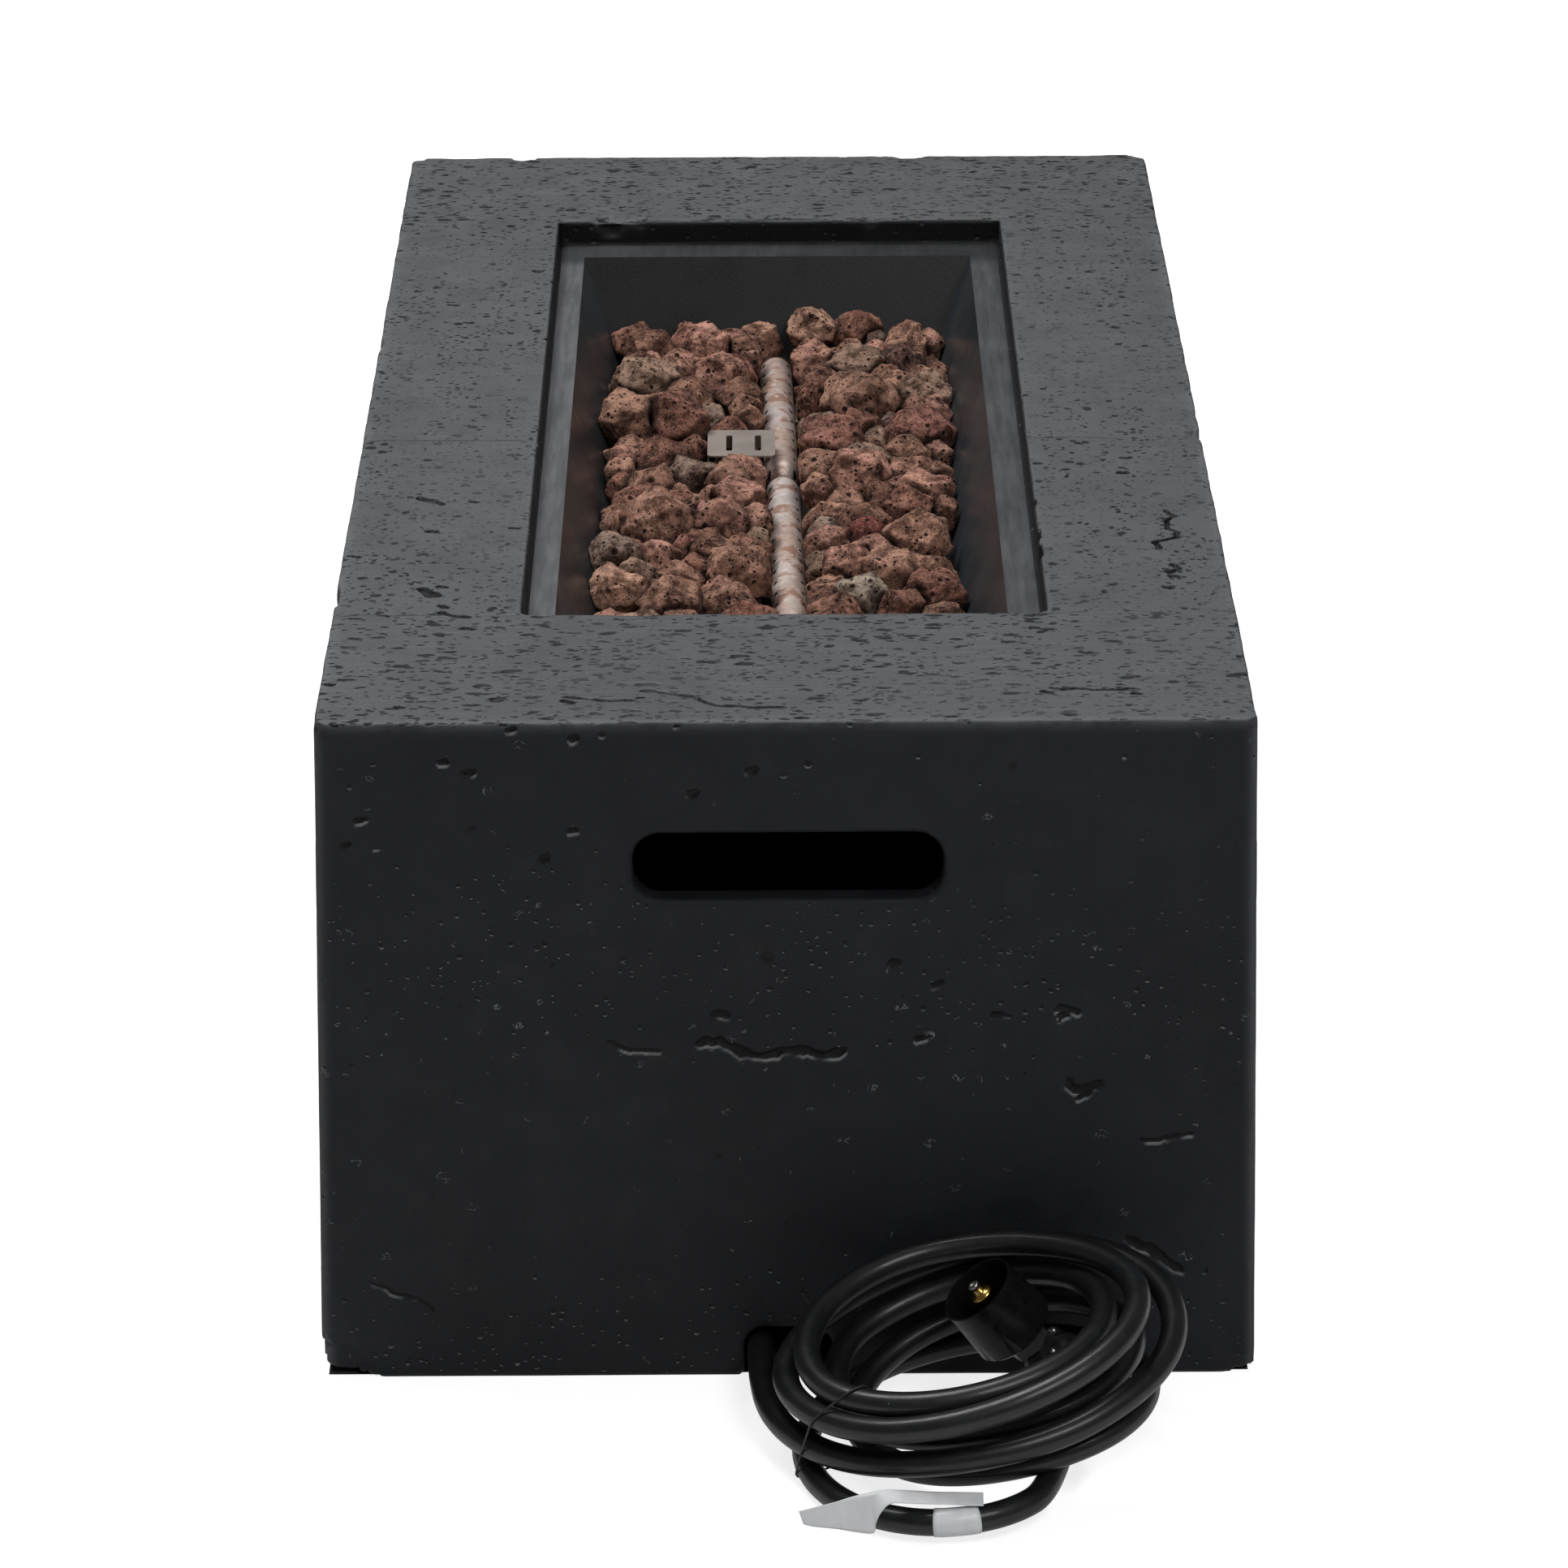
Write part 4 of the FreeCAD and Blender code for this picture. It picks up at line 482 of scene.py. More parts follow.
def enamel():
    """Heat-proof black coat on the pan, with brown streaks painted as a reflection of the rocks, side walls
    painted lighter and end walls darker, and a dusty flange, painted paler as if lit from above and darker on
    the right.
    """
    s = Shade("black_enamel", (0.012, 0.012, 0.012), 0.3, Specular_IOR_Level=0.4, Coat_Weight=0.1,
              Coat_Roughness=0.3)
    cloud = s.noise(7.0, 5.0, 0.6)
    aside, _, upward = s.facing()
    up = s.step(upward, 0.6, 0.95)
    wall = s.mix(s.step(cloud, 0.35, 0.75), (0.0105, 0.0120, 0.0140), (0.0240, 0.0262, 0.0295))
    # brown streaks on the walls: a painted reflection of the lava rocks
    patch_mask = s.step(s.noise(1.0, 4.0, 0.6, s.stretch((30.0, 4.0, 14.0))), 0.60, 0.75, 0.0, 0.35)
    wall = s.mix(patch_mask, wall, (0.10, 0.075, 0.062))
    # walls facing the sides painted lighter and the end walls darker: painted light and shade
    paler_share = s.step(s.size(aside), 0.3, 0.8)
    wall = s.mix(1.0, wall, s.mix(paler_share, (0.25, 0.26, 0.28), (1.50, 1.68, 1.72)), "MULTIPLY")
    x, y, _ = s.axes(s.place)
    # the up-facing flange takes a pale dusty colour: dust, and also painted light from above
    drift = s.noise(1.0, 4.0, 0.6, s.stretch((160.0, 16.0, 60.0)))
    dust = s.mix(s.step(drift, 0.3, 0.7), (0.068, 0.070, 0.074), (0.118, 0.120, 0.124))
    # the flange darker on the right half, and along its back
    darker_right = s.mix(s.step(drift, 0.3, 0.7), (0.036, 0.0375, 0.040), (0.068, 0.070, 0.073))
    dust = s.mix(s.step(x, -0.05, 0.08), dust, darker_right)
    dust = s.mix(s.step(y, 0.325, 0.345, 0.0, 0.75), dust, (0.018, 0.0195, 0.022))
    s.colour(s.mix(up, wall, dust))
    s.rough(s.step(s.noise(26.0, 4.0), 0.3, 0.75, 0.34, 0.5))
    s.bump(s.noise(420.0, 3.0), 0.0002, 0.35)
    return s.mat


def heated_steel():
    """Stainless steel that heat has tinted straw, brown and blue in bands."""
    s = Shade("heat_tinted_steel", (0.5, 0.46, 0.40), 0.34, 1.0)
    band = s.noise(9.0, 3.0, 0.5, s.stretch((1.0, 0.6, 1.0)))
    tint = s.mix(s.step(band, 0.35, 0.5), (0.42, 0.38, 0.33), (0.52, 0.45, 0.36))
    tint = s.mix(s.step(band, 0.52, 0.62), tint, (0.33, 0.22, 0.13))
    tint = s.mix(s.step(band, 0.64, 0.72), tint, (0.27, 0.29, 0.34))
    # scattered dark soot spots
    dark_marks = s.step(s.noise(60.0, 5.0, 0.65), 0.5, 0.75, 0.0, 0.6)
    s.colour(s.mix(dark_marks, tint, (0.09, 0.075, 0.06)))
    s.rough(s.step(s.noise(80.0, 4.0), 0.3, 0.8, 0.26, 0.5))
    s.bump(s.noise(300.0, 3.0, 0.5, s.stretch((1.0, 0.08, 1.0))), 0.0001, 0.3)
    return s.mat


def burnt_tube():
    """The burner tube: steel clouded pink and white by the flame, rust-brown blotches, and dark ports:
    painted shade of the port openings.
    """
    s = Shade("burnt_steel", (0.6, 0.52, 0.48), 0.45, 0.7)
    wide = s.noise(16.0, 4.0, 0.6, s.stretch((1.0, 0.7, 1.0)))
    blotch = s.noise(52.0, 4.0, 0.62)
    scale = s.noise(240.0, 4.0, 0.65)
    tint = s.mix(s.step(wide, 0.38, 0.6), (0.68, 0.60, 0.56), (0.57, 0.43, 0.37))
    tint = s.mix(s.step(blotch, 0.48, 0.62, 0.0, 0.9), tint, (0.30, 0.17, 0.12))
    tint = s.mix(s.step(scale, 0.55, 0.72, 0.0, 0.7), tint, (0.86, 0.80, 0.78))
    tint = s.mix(s.step(scale, 0.22, 0.40, 0.6, 0.0), tint, (0.16, 0.11, 0.09))
    # a dark spot round each port on the upper half: painted shade of the port openings
    x, y, height = s.axes(s.place)
    along = s.minus(y, OPEN_Y)
    middle = s.minus(TUBE_X, s.times(along, math.tan(TUBE_TURN)))
    aside = s.math("DIVIDE", s.minus(s.size(s.minus(x, middle)), PORT_ASIDE), PORT_W)
    pitch = s.times(s.minus(s.math("FRACT", s.math("DIVIDE", along, PORT_PITCH)), 0.5), PORT_PITCH)
    reach = s.plus(s.math("POWER", aside, 2.0), s.math("POWER", s.math("DIVIDE", pitch, PORT_L), 2.0))
    dark_marks = s.times(s.step(reach, 0.55, 1.15, 0.95, 0.0), s.math("GREATER_THAN", height, TUBE_Z))
    s.colour(s.mix(dark_marks, tint, (0.012, 0.008, 0.007)))
    s.rough(s.step(blotch, 0.3, 0.7, 0.40, 0.62))
    s.bump(s.plus(scale, s.times(blotch, 1.5)), 0.0006, 0.5)
    return s.mat


def guard_steel():
    """The pilot guard: pale grey steel, browner where it bends under."""
    s = Shade("guard_steel", (0.5, 0.48, 0.44), 0.42, 0.75)
    wide = s.noise(40.0, 4.0, 0.6)
    _, _, height = s.axes(s.place)
    low = s.step(height, 0.3385, 0.3465, 1.0, 0.0)
    tint = s.mix(s.step(wide, 0.35, 0.7), (0.62, 0.60, 0.57), (0.50, 0.485, 0.46))
    tint = s.mix(s.times(low, 0.42), tint, (0.26, 0.16, 0.09))
    s.colour(tint)
    s.rough(s.step(wide, 0.3, 0.7, 0.36, 0.5))
    s.bump(s.noise(260.0, 3.0), 0.0002, 0.35)
    return s.mat


def lava():
    """Porous lava: tan, pink and brown by rock, with painted shade: darker in the hollows, between stones and
    on faces not facing up, and black in the pores.
    """
    s = Shade("lava_rock", (0.3, 0.2, 0.15), 0.92, Specular_IOR_Level=0.15)
    tint = s.layer("tint", "Color")
    hollow_shade = s.layer("hollow_shade")
    crevice_shade = s.layer("crevice_shade")
    bent = s.warped(420.0, 0.0014)
    cloud = s.noise(85.0, 5.0, 0.68)
    grain = s.noise(620.0, 4.0, 0.75)
    colour = s.mix(s.step(cloud, 0.36, 0.64), (0.34, 0.27, 0.24), (1.80, 1.70, 1.62))
    _, _, upward = s.facing()
    # faces that do not face up are painted darker: painted shade away from the light above
    colour = s.mix(s.step(upward, 0.1, 0.95), s.mix(1.0, colour, (0.78, 0.76, 0.75), "MULTIPLY"), colour)
    colour = s.mix(1.0, tint, colour, "MULTIPLY")
    colour = s.mix(s.step(grain, 0.52, 0.68, 0.0, 0.55), colour, (0.48, 0.34, 0.28))
    colour = s.mix(s.step(grain, 0.32, 0.46, 0.7, 0.0), colour, (0.055, 0.028, 0.021))
    wide = s.pits((190, 190, 190), 0.50, 0.12, 0.40, (7, 1, 5), bent)
    pores = s.pits((340, 340, 340), 0.55, 0.14, 0.45, vector=bent)
    fine = s.pits((700, 700, 700), 0.50, 0.18, 0.45, (3, 1, 2), bent)
    pores = s.most(wide, pores, s.times(fine, 0.75))
    # pores and dents painted near black: painted shade inside them
    dark = s.most(s.times(pores, 0.96), s.times(hollow_shade, 0.85))
    # painted shade where the stones meet
    colour = s.mix(s.times(crevice_shade, 0.88), colour, (0.030, 0.014, 0.011))
    s.colour(s.mix(dark, colour, (0.014, 0.007, 0.006)))
    height = s.minus(s.times(s.plus(grain, cloud), 0.7), pores)
    s.bump(height, 0.0021, 1.0)
    return s.mat


def rubber():
    """Smooth extruded hose with a soft shine, faint rubs and dust."""
    s = Shade("hose_rubber", (0.014, 0.015, 0.016), 0.42, Specular_IOR_Level=0.35, Coat_Weight=0.22,
              Coat_Roughness=0.15)
    patch_mask = s.noise(38.0, 5.0, 0.6)
    base = s.mix(s.step(patch_mask, 0.5, 0.8), (0.0085, 0.0091, 0.0100), (0.019, 0.0205, 0.022))
    specks = s.pits((260, 260, 260), 0.09, 0.04, 0.16)
    few = s.step(s.noise(26.0, 2.0), 0.50, 0.60)
    s.colour(s.mix(s.times(specks, few), base, (0.20, 0.21, 0.23)))
    s.rough(s.step(s.noise(90.0, 4.0), 0.3, 0.75, 0.36, 0.5))
    s.bump(s.noise(330.0, 4.0, 0.6), 0.0002, 0.45)
    return s.mat


def paper():
    """Glossy white tag paper, creased, and painted a little grey in the low parts of the creases: painted
    shade.
    """
    s = Shade("tag_paper", (0.86, 0.88, 0.90), 0.3, Specular_IOR_Level=0.5)
    crease = s.noise(90.0, 3.0, 0.55, s.stretch((1.0, 0.5, 0.35)))
    # greyer where the crease bump is low: painted shade in the creases
    s.colour(s.mix(s.step(crease, 0.35, 0.7), (0.84, 0.86, 0.885), (0.93, 0.94, 0.95)))
    s.rough(s.step(crease, 0.3, 0.7, 0.24, 0.4))
    s.bump(crease, 0.0012, 0.5)
    return s.mat


def speckled(name, colour, spot, rough, scale=300.0, metal=0.0, depth=0.0002, **sockets):
    """A finish with a faint mottle in colour and roughness, and a fine grain."""
    s = Shade(name, colour, rough, metal, **sockets)
    cloud = s.noise(scale * 0.2, 4.0, 0.6)
    s.colour(s.mix(s.step(cloud, 0.35, 0.75), colour, spot))
    s.rough(s.step(s.noise(scale * 0.4, 4.0), 0.3, 0.75, rough * 0.8, min(1.0, rough * 1.25)))
    s.bump(s.noise(scale, 3.0), depth, 0.4)
    return s.mat


MATERIALS = {
    "cast_concrete": concrete(),
    "black_enamel": enamel(),
    "heat_tinted_steel": heated_steel(),
    "lava_rock": lava(),
    "hose_rubber": rubber(),
    "plated_steel": speckled("plated_steel", (0.50, 0.49, 0.46), (0.36, 0.35, 0.33), 0.34, 300.0, 1.0),
    "seal_rubber": speckled("seal_rubber", (0.30, 0.27, 0.22), (0.22, 0.20, 0.17), 0.5, 500.0),
    "tie_string": speckled("tie_string", (0.012, 0.012, 0.014), (0.035, 0.035, 0.037), 0.6, 900.0),
    "tag_paper": paper(),
    "black_plastic": speckled("black_plastic", (0.009, 0.0095, 0.0105), (0.018, 0.0185, 0.020), 0.3, 500.0),
    "panel_plastic": speckled("panel_plastic", (0.03, 0.03, 0.03), (0.045, 0.045, 0.045), 0.5, 700.0),
    "brass": speckled("brass", (0.66, 0.43, 0.13), (0.50, 0.31, 0.09), 0.22, 250.0, 1.0),
    "cast_zinc": speckled("cast_zinc", (0.014, 0.0145, 0.016), (0.030, 0.031, 0.033), 0.42, 500.0,
                          depth=0.0004),
    "ceramic": speckled("ceramic", (0.72, 0.69, 0.61), (0.60, 0.56, 0.48), 0.22, 200.0, Coat_Weight=0.5),
    "copper_lead": speckled("copper_lead", (0.42, 0.19, 0.10), (0.25, 0.12, 0.07), 0.34, 300.0, 1.0),
    "lead_rubber": speckled("lead_rubber", (0.05, 0.035, 0.03), (0.08, 0.06, 0.05), 0.5, 500.0),
}
SPECIAL = {
    "burner_tube": burnt_tube(),
    "pilot_guard": guard_steel(),
    "coupling_nut": speckled("nut_plastic", (0.0048, 0.005, 0.0056), (0.010, 0.0105, 0.0115), 0.3, 300.0,
                             depth=0.0001, Specular_IOR_Level=0.22),
}
# the ferrules and the regulator's outlet are painted near black so the gap under the coil reads dark: painted
# shade
for dark in ("hose_ferrule_regulator", "hose_ferrule_valve", "regulator_outlet"):
    SPECIAL[dark] = speckled(dark + "_black", (0.018, 0.0185, 0.0195), (0.040, 0.041, 0.043), 0.34)


def finish(obj, slot, material=None):
    """Gives an object one material, the slot's own unless another is given."""
    obj.data.materials.clear()
    obj.data.materials.append(material or MATERIALS[slot])


def stand_for(piece, slot, *nodes):
    """Finishes a piece, rides it on the table and lets it replace CAD nodes."""
    finish(piece, slot)
    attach(piece, "table")
    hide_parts(*nodes)


def new_object(name, data):
    obj = bpy.data.objects.new(name, data)
    bpy.context.scene.collection.objects.link(obj)
    return obj


def mesh_object(name, points, faces, smooth=True):
    mesh = bpy.data.meshes.new(name)
    mesh.from_pydata([tuple(p) for p in points], [], [tuple(f) for f in faces])
    if smooth:
        mesh.polygons.foreach_set("use_smooth", [True] * len(mesh.polygons))
    mesh.update()
    return new_object(name, mesh)


def smooth_curve(name, places, resolution):
    """A curve of one smooth spline near some places, and the spline."""
    curve = bpy.data.curves.new(name, "CURVE")
    curve.dimensions = "3D"
    curve.resolution_u = resolution
    spline = curve.splines.new("NURBS")
    spline.points.add(len(places) - 1)
    for point, place in zip(spline.points, places):
        point.co = (*place, 1.0)
    spline.order_u = 3
    return new_object(name, curve), spline


def square_to(along):
    """Two directions square to a third: a level one, and one that rises."""
    side = along.cross(Vector((0, 0, 1))).normalized()
    return side, side.cross(along)


def spoke(side, up, angle):
    return side * math.cos(angle) + up * math.sin(angle)


def store(obj, name, values):
    """Keeps one value for each point of a mesh."""
    layer = obj.data.attributes.new(name, "FLOAT", "POINT")
    layer.data.foreach_set("value", np.asarray(values, np.float32))


# Camera, floor and light

def make_camera():
    data = bpy.data.cameras.new("camera")
    data.lens = CAMERA_LENS
    data.sensor_width = SENSOR
    data.sensor_height = SENSOR
    data.clip_end = 60.0
    camera = new_object("camera", data)
    sin, cos = math.sin, math.cos
    ahead = Vector((sin(CAMERA_YAW) * cos(CAMERA_PITCH), cos(CAMERA_YAW) * cos(CAMERA_PITCH),
                    -sin(CAMERA_PITCH)))
    right = Vector((cos(CAMERA_YAW), -sin(CAMERA_YAW), 0.0))
    up = right.cross(ahead)
    rolled = right * cos(CAMERA_ROLL) + up * sin(CAMERA_ROLL)
    up = rolled.cross(ahead)
    matrix = Matrix((rolled, up, -ahead)).transposed().to_4x4()
    matrix.translation = CAMERA_PLACE
    camera.matrix_world = matrix
    bpy.context.scene.camera = camera


def make_floor():
    """White floor that keeps the object's shadow, with painted shade inside the body's footprint: dark there
    and without glow.
    """
    size = 14.0
    floor = mesh_object("floor", [(-size, -size, 0), (size, -size, 0), (size, size, 0), (-size, size, 0)],
                        [(0, 1, 2, 3)], False)
    s = Shade("floor_white", (0.62, 0.62, 0.62), 0.9)
    x, y, _ = s.axes(s.place)
    # inside the body's footprint the floor is painted dark and does not glow: painted shade
    in_x = s.math("LESS_THAN", s.size(x), BASE_W / 2 - 4 * MM)
    in_y = s.math("LESS_THAN", s.size(y), BASE_L / 2 - 4 * MM)
    outside = s.minus(1.0, s.times(in_x, in_y))
    diffuse = s.add("BsdfDiffuse", {"Color": s.mix(outside, (0.06, 0.06, 0.06), (0.62, 0.62, 0.62))})
    rays = s.add("LightPath")
    seen = s.times(rays.outputs["Is Glossy Ray"], 0.4)
    seen = s.most(rays.outputs["Is Camera Ray"], seen, rays.outputs["Is Transmission Ray"])
    level = s.step(s.most(s.size(x), s.size(y)), 1.4, 4.5, 0.80, 1.0)
    glow = s.add("Emission", {"Strength": s.times(s.times(seen, outside), level)})
    both = s.add("AddShader", {0: diffuse.outputs[0], 1: glow.outputs[0]})
    s.put(s.nodes["Material Output"].inputs["Surface"], both.outputs[0])
    s.nodes.remove(s.bsdf)
    floor.data.materials.append(s.mat)


def make_light():
    """A white world for the eye, and soft lamps."""
    world = bpy.data.worlds.new("studio")
    bpy.context.scene.world = world
    world.use_nodes = True
    nodes, links = world.node_tree.nodes, world.node_tree.links
    back = nodes["Background"]
    back.inputs["Color"].default_value = (1.0, 1.0, 1.0, 1)
    rays = nodes.new("ShaderNodeLightPath")
    seen = nodes.new("ShaderNodeMath")
    seen.operation = "MAXIMUM"
    links.new(rays.outputs["Is Camera Ray"], seen.inputs[0])
    links.new(rays.outputs["Is Transmission Ray"], seen.inputs[1])
    level = nodes.new("ShaderNodeMapRange")
    level.inputs["To Min"].default_value = 0.11
    level.inputs["To Max"].default_value = 1.0
    links.new(seen.outputs[0], level.inputs["Value"])
    links.new(level.outputs["Result"], back.inputs["Strength"])

    lamps = [
        # place, aim, width, height, watts
        ((-0.75, 0.35, 3.0), (0.0, 0.0, 0.3), 1.5, 1.5, 60.0),
        ((0.9, -2.3, 2.5), (0.05, -0.6, 0.1), 1.4, 1.0, 29.0),
        ((-0.95, 0.95, 2.5), (0.0, -0.1, 0.3), 0.5, 0.5, 12.0),
        ((0.5, 1.4, 2.4), (0.0, -0.1, 0.3), 0.6, 0.6, 8.0),
    ]
    for i, (place, aim, width, height, watts) in enumerate(lamps):
        data = bpy.data.lights.new("softbox_%d" % (i + 1), "AREA")
        data.shape = "RECTANGLE"
        data.size = width
        data.size_y = height
        data.energy = watts
        lamp = new_object(data.name, data)
        lamp.location = place
        lamp.rotation_euler = (Vector(aim) - Vector(place)).to_track_quat("-Z", "Y").to_euler()


# Body

def even_mesh(node, grid, passes):
    """The node's surface as even squares, halved where each pass says so, with every point on the surface."""
    source = NODES[node]
    rough = new_object("rough", source.data.copy())
    remesh = rough.modifiers.new("even", "REMESH")
    remesh.mode = "VOXEL"
    remesh.voxel_size = grid
    view = bpy.context.evaluated_depsgraph_get()
    even = bpy.data.meshes.new_from_object(rough.evaluated_get(view))
    bpy.data.objects.remove(rough)
    mesh = bmesh.new()
    mesh.from_mesh(even)
    for fine in passes:
        edges = {edge for face in mesh.faces if fine(face.calc_center_median()) for edge in face.edges}
        bmesh.ops.subdivide_edges(mesh, edges=list(edges), cuts=1, use_grid_fill=True)
    mesh.to_mesh(even)
    mesh.free()
    tree = BVHTree.FromPolygons([v.co for v in source.data.vertices],
                                [p.vertices[:] for p in source.data.polygons])
    for vert in even.vertices:
        vert.co = tree.find_nearest(vert.co)[0]
    even.polygons.foreach_set("use_smooth", [True] * len(even.polygons))
    even.update()
    return even


def is_seen(place):
    """On the top, on the walls of its opening, or on the front."""
    return place.z > HEIGHT - 23 * MM or place.y < -BASE_L / 2 + 12 * MM


def is_drawn(place):
    """Near one of the drawn cracks or pits."""
    if place.z > HEIGHT - 4 * MM:
        flat, cracks = (place.x, place.y), TOP_MARKS
    elif place.y < -BASE_L / 2 + 12 * MM:
        flat, cracks = (place.x, place.z), FRONT_MARKS
    else:
        return False
    return any(math.hypot(flat[0] - x * MM, flat[1] - y * MM) < MARK_REACH
               for line, _, _ in cracks for x, y in line)


def is_fine(place):
    """Near a drawn mark, or on the outer edge of the top."""
    if place.z > HEIGHT - 7 * MM:
        lean = LEAN * place.z
        if abs(place.x) > BASE_W / 2 - lean - 7 * MM or abs(place.y) > BASE_L / 2 - lean - 7 * MM:
            return True
    return is_drawn(place)


def box_gap(across, along, box):
    """How far each point of a face lies outside a rounded box, and the way out of it."""
    x, y, width, height, radius = [value * MM for value in box]
    dx, dy = across - x, along - y
    qx = np.abs(dx) - width / 2 + radius
    qy = np.abs(dy) - height / 2 + radius
    ox, oy = np.maximum(qx, 0), np.maximum(qy, 0)
    away = np.hypot(ox, oy)
    gap = away + np.minimum(np.maximum(qx, qy), 0) - radius
    round_way = away > 1e-6
    wx = np.where(round_way, ox / np.maximum(away, 1e-6), (qx > qy) * 1.0) * np.sign(dx)
    wy = np.where(round_way, oy / np.maximum(away, 1e-6), (qx <= qy) * 1.0) * np.sign(dy)
    return gap, wx, wy


def soften(p, across, along, box, deep, sign, radius):
    """Rounds the edge where an opening of the given box meets a face that each point lies deep under."""
    gap, wx, wy = box_gap(p[:, across], p[:, along], box)
    out, down = np.maximum(gap, 0), np.maximum(deep, 0)
    at = out - down
    near = (np.abs(gap) < radius + 0.6 * MM) & (deep > -0.6 * MM) & (deep < radius + 0.6 * MM)
    near &= (np.abs(at) < radius) & ((gap < 0.5 * MM) | (deep < 0.5 * MM))
    turn = (np.clip(at / radius, -1, 1) + 1) * math.pi / 4
    new_out = radius * (1 - np.cos(turn))
    new_down = radius * (1 - np.sin(turn))
    move_out = np.where(near, new_out - gap, 0)
    p[:, across] += wx * move_out
    p[:, along] += wy * move_out
    face = ({0, 1, 2} - {across, along}).pop()
    p[:, face] += np.where(near, sign * (new_down - deep), 0)


def sharpen_rim(p):
    """Brings the outer edge of the top from the solid's round to the smaller one of the casting."""
    size = [(full - 2 * LEAN * p[:, 2]) / MM for full in (BASE_W, BASE_L)]
    gap, wx, wy = box_gap(p[:, 0], p[:, 1], (0.0, 0.0, *size, CORNER_R))
    inside, below = -gap, HEIGHT - p[:, 2]
    near = (inside < SOLID_EDGE_R) & (below < SOLID_EDGE_R)
    at = inside - below
    turn = math.pi / 4 + np.arcsin(np.clip(at / (TOP_EDGE_R * math.sqrt(2)), -math.sqrt(0.5), math.sqrt(0.5)))
    new_inside = np.where(np.abs(at) < TOP_EDGE_R, TOP_EDGE_R * (1 - np.cos(turn)), np.maximum(at, 0))
    rise = np.where(near, below - (new_inside - at), 0)
    shift = np.where(near, inside - new_inside, 0) - LEAN * rise
    p[:, 0] += wx * shift
    p[:, 1] += wy * shift
    p[:, 2] += rise


def body_points(mesh):
    points = np.empty(len(mesh.vertices) * 3)
    mesh.vertices.foreach_get("co", points)
    normals = np.empty(len(mesh.vertices) * 3)
    mesh.vertices.foreach_get("normal", normals)
    return points.reshape(-1, 3), normals.reshape(-1, 3)


def soften_lips(p):
    """Rounds the lips of the fire opening, the two slots, the hose notch and the control recess."""
    opening = (0.0, OPEN_Y / MM, OPEN_W / MM, OPEN_L / MM, 3.0)
    soften(p, 0, 1, opening, HEIGHT - p[:, 2], -1, LIP_R)
    for sign in (-1, 1):
        soften(p, 0, 2, SLOT, BASE_L / 2 - LEAN * p[:, 2] - sign * p[:, 1], -sign, 1.5 * LIP_R)
    soften(p, 0, 2, NOTCH, BASE_L / 2 - LEAN * p[:, 2] + p[:, 1], 1, 1.2 * LIP_R)
    soften(p, 1, 2, POCKET, BASE_W / 2 - LEAN * p[:, 2] + p[:, 0], 1, LIP_R)


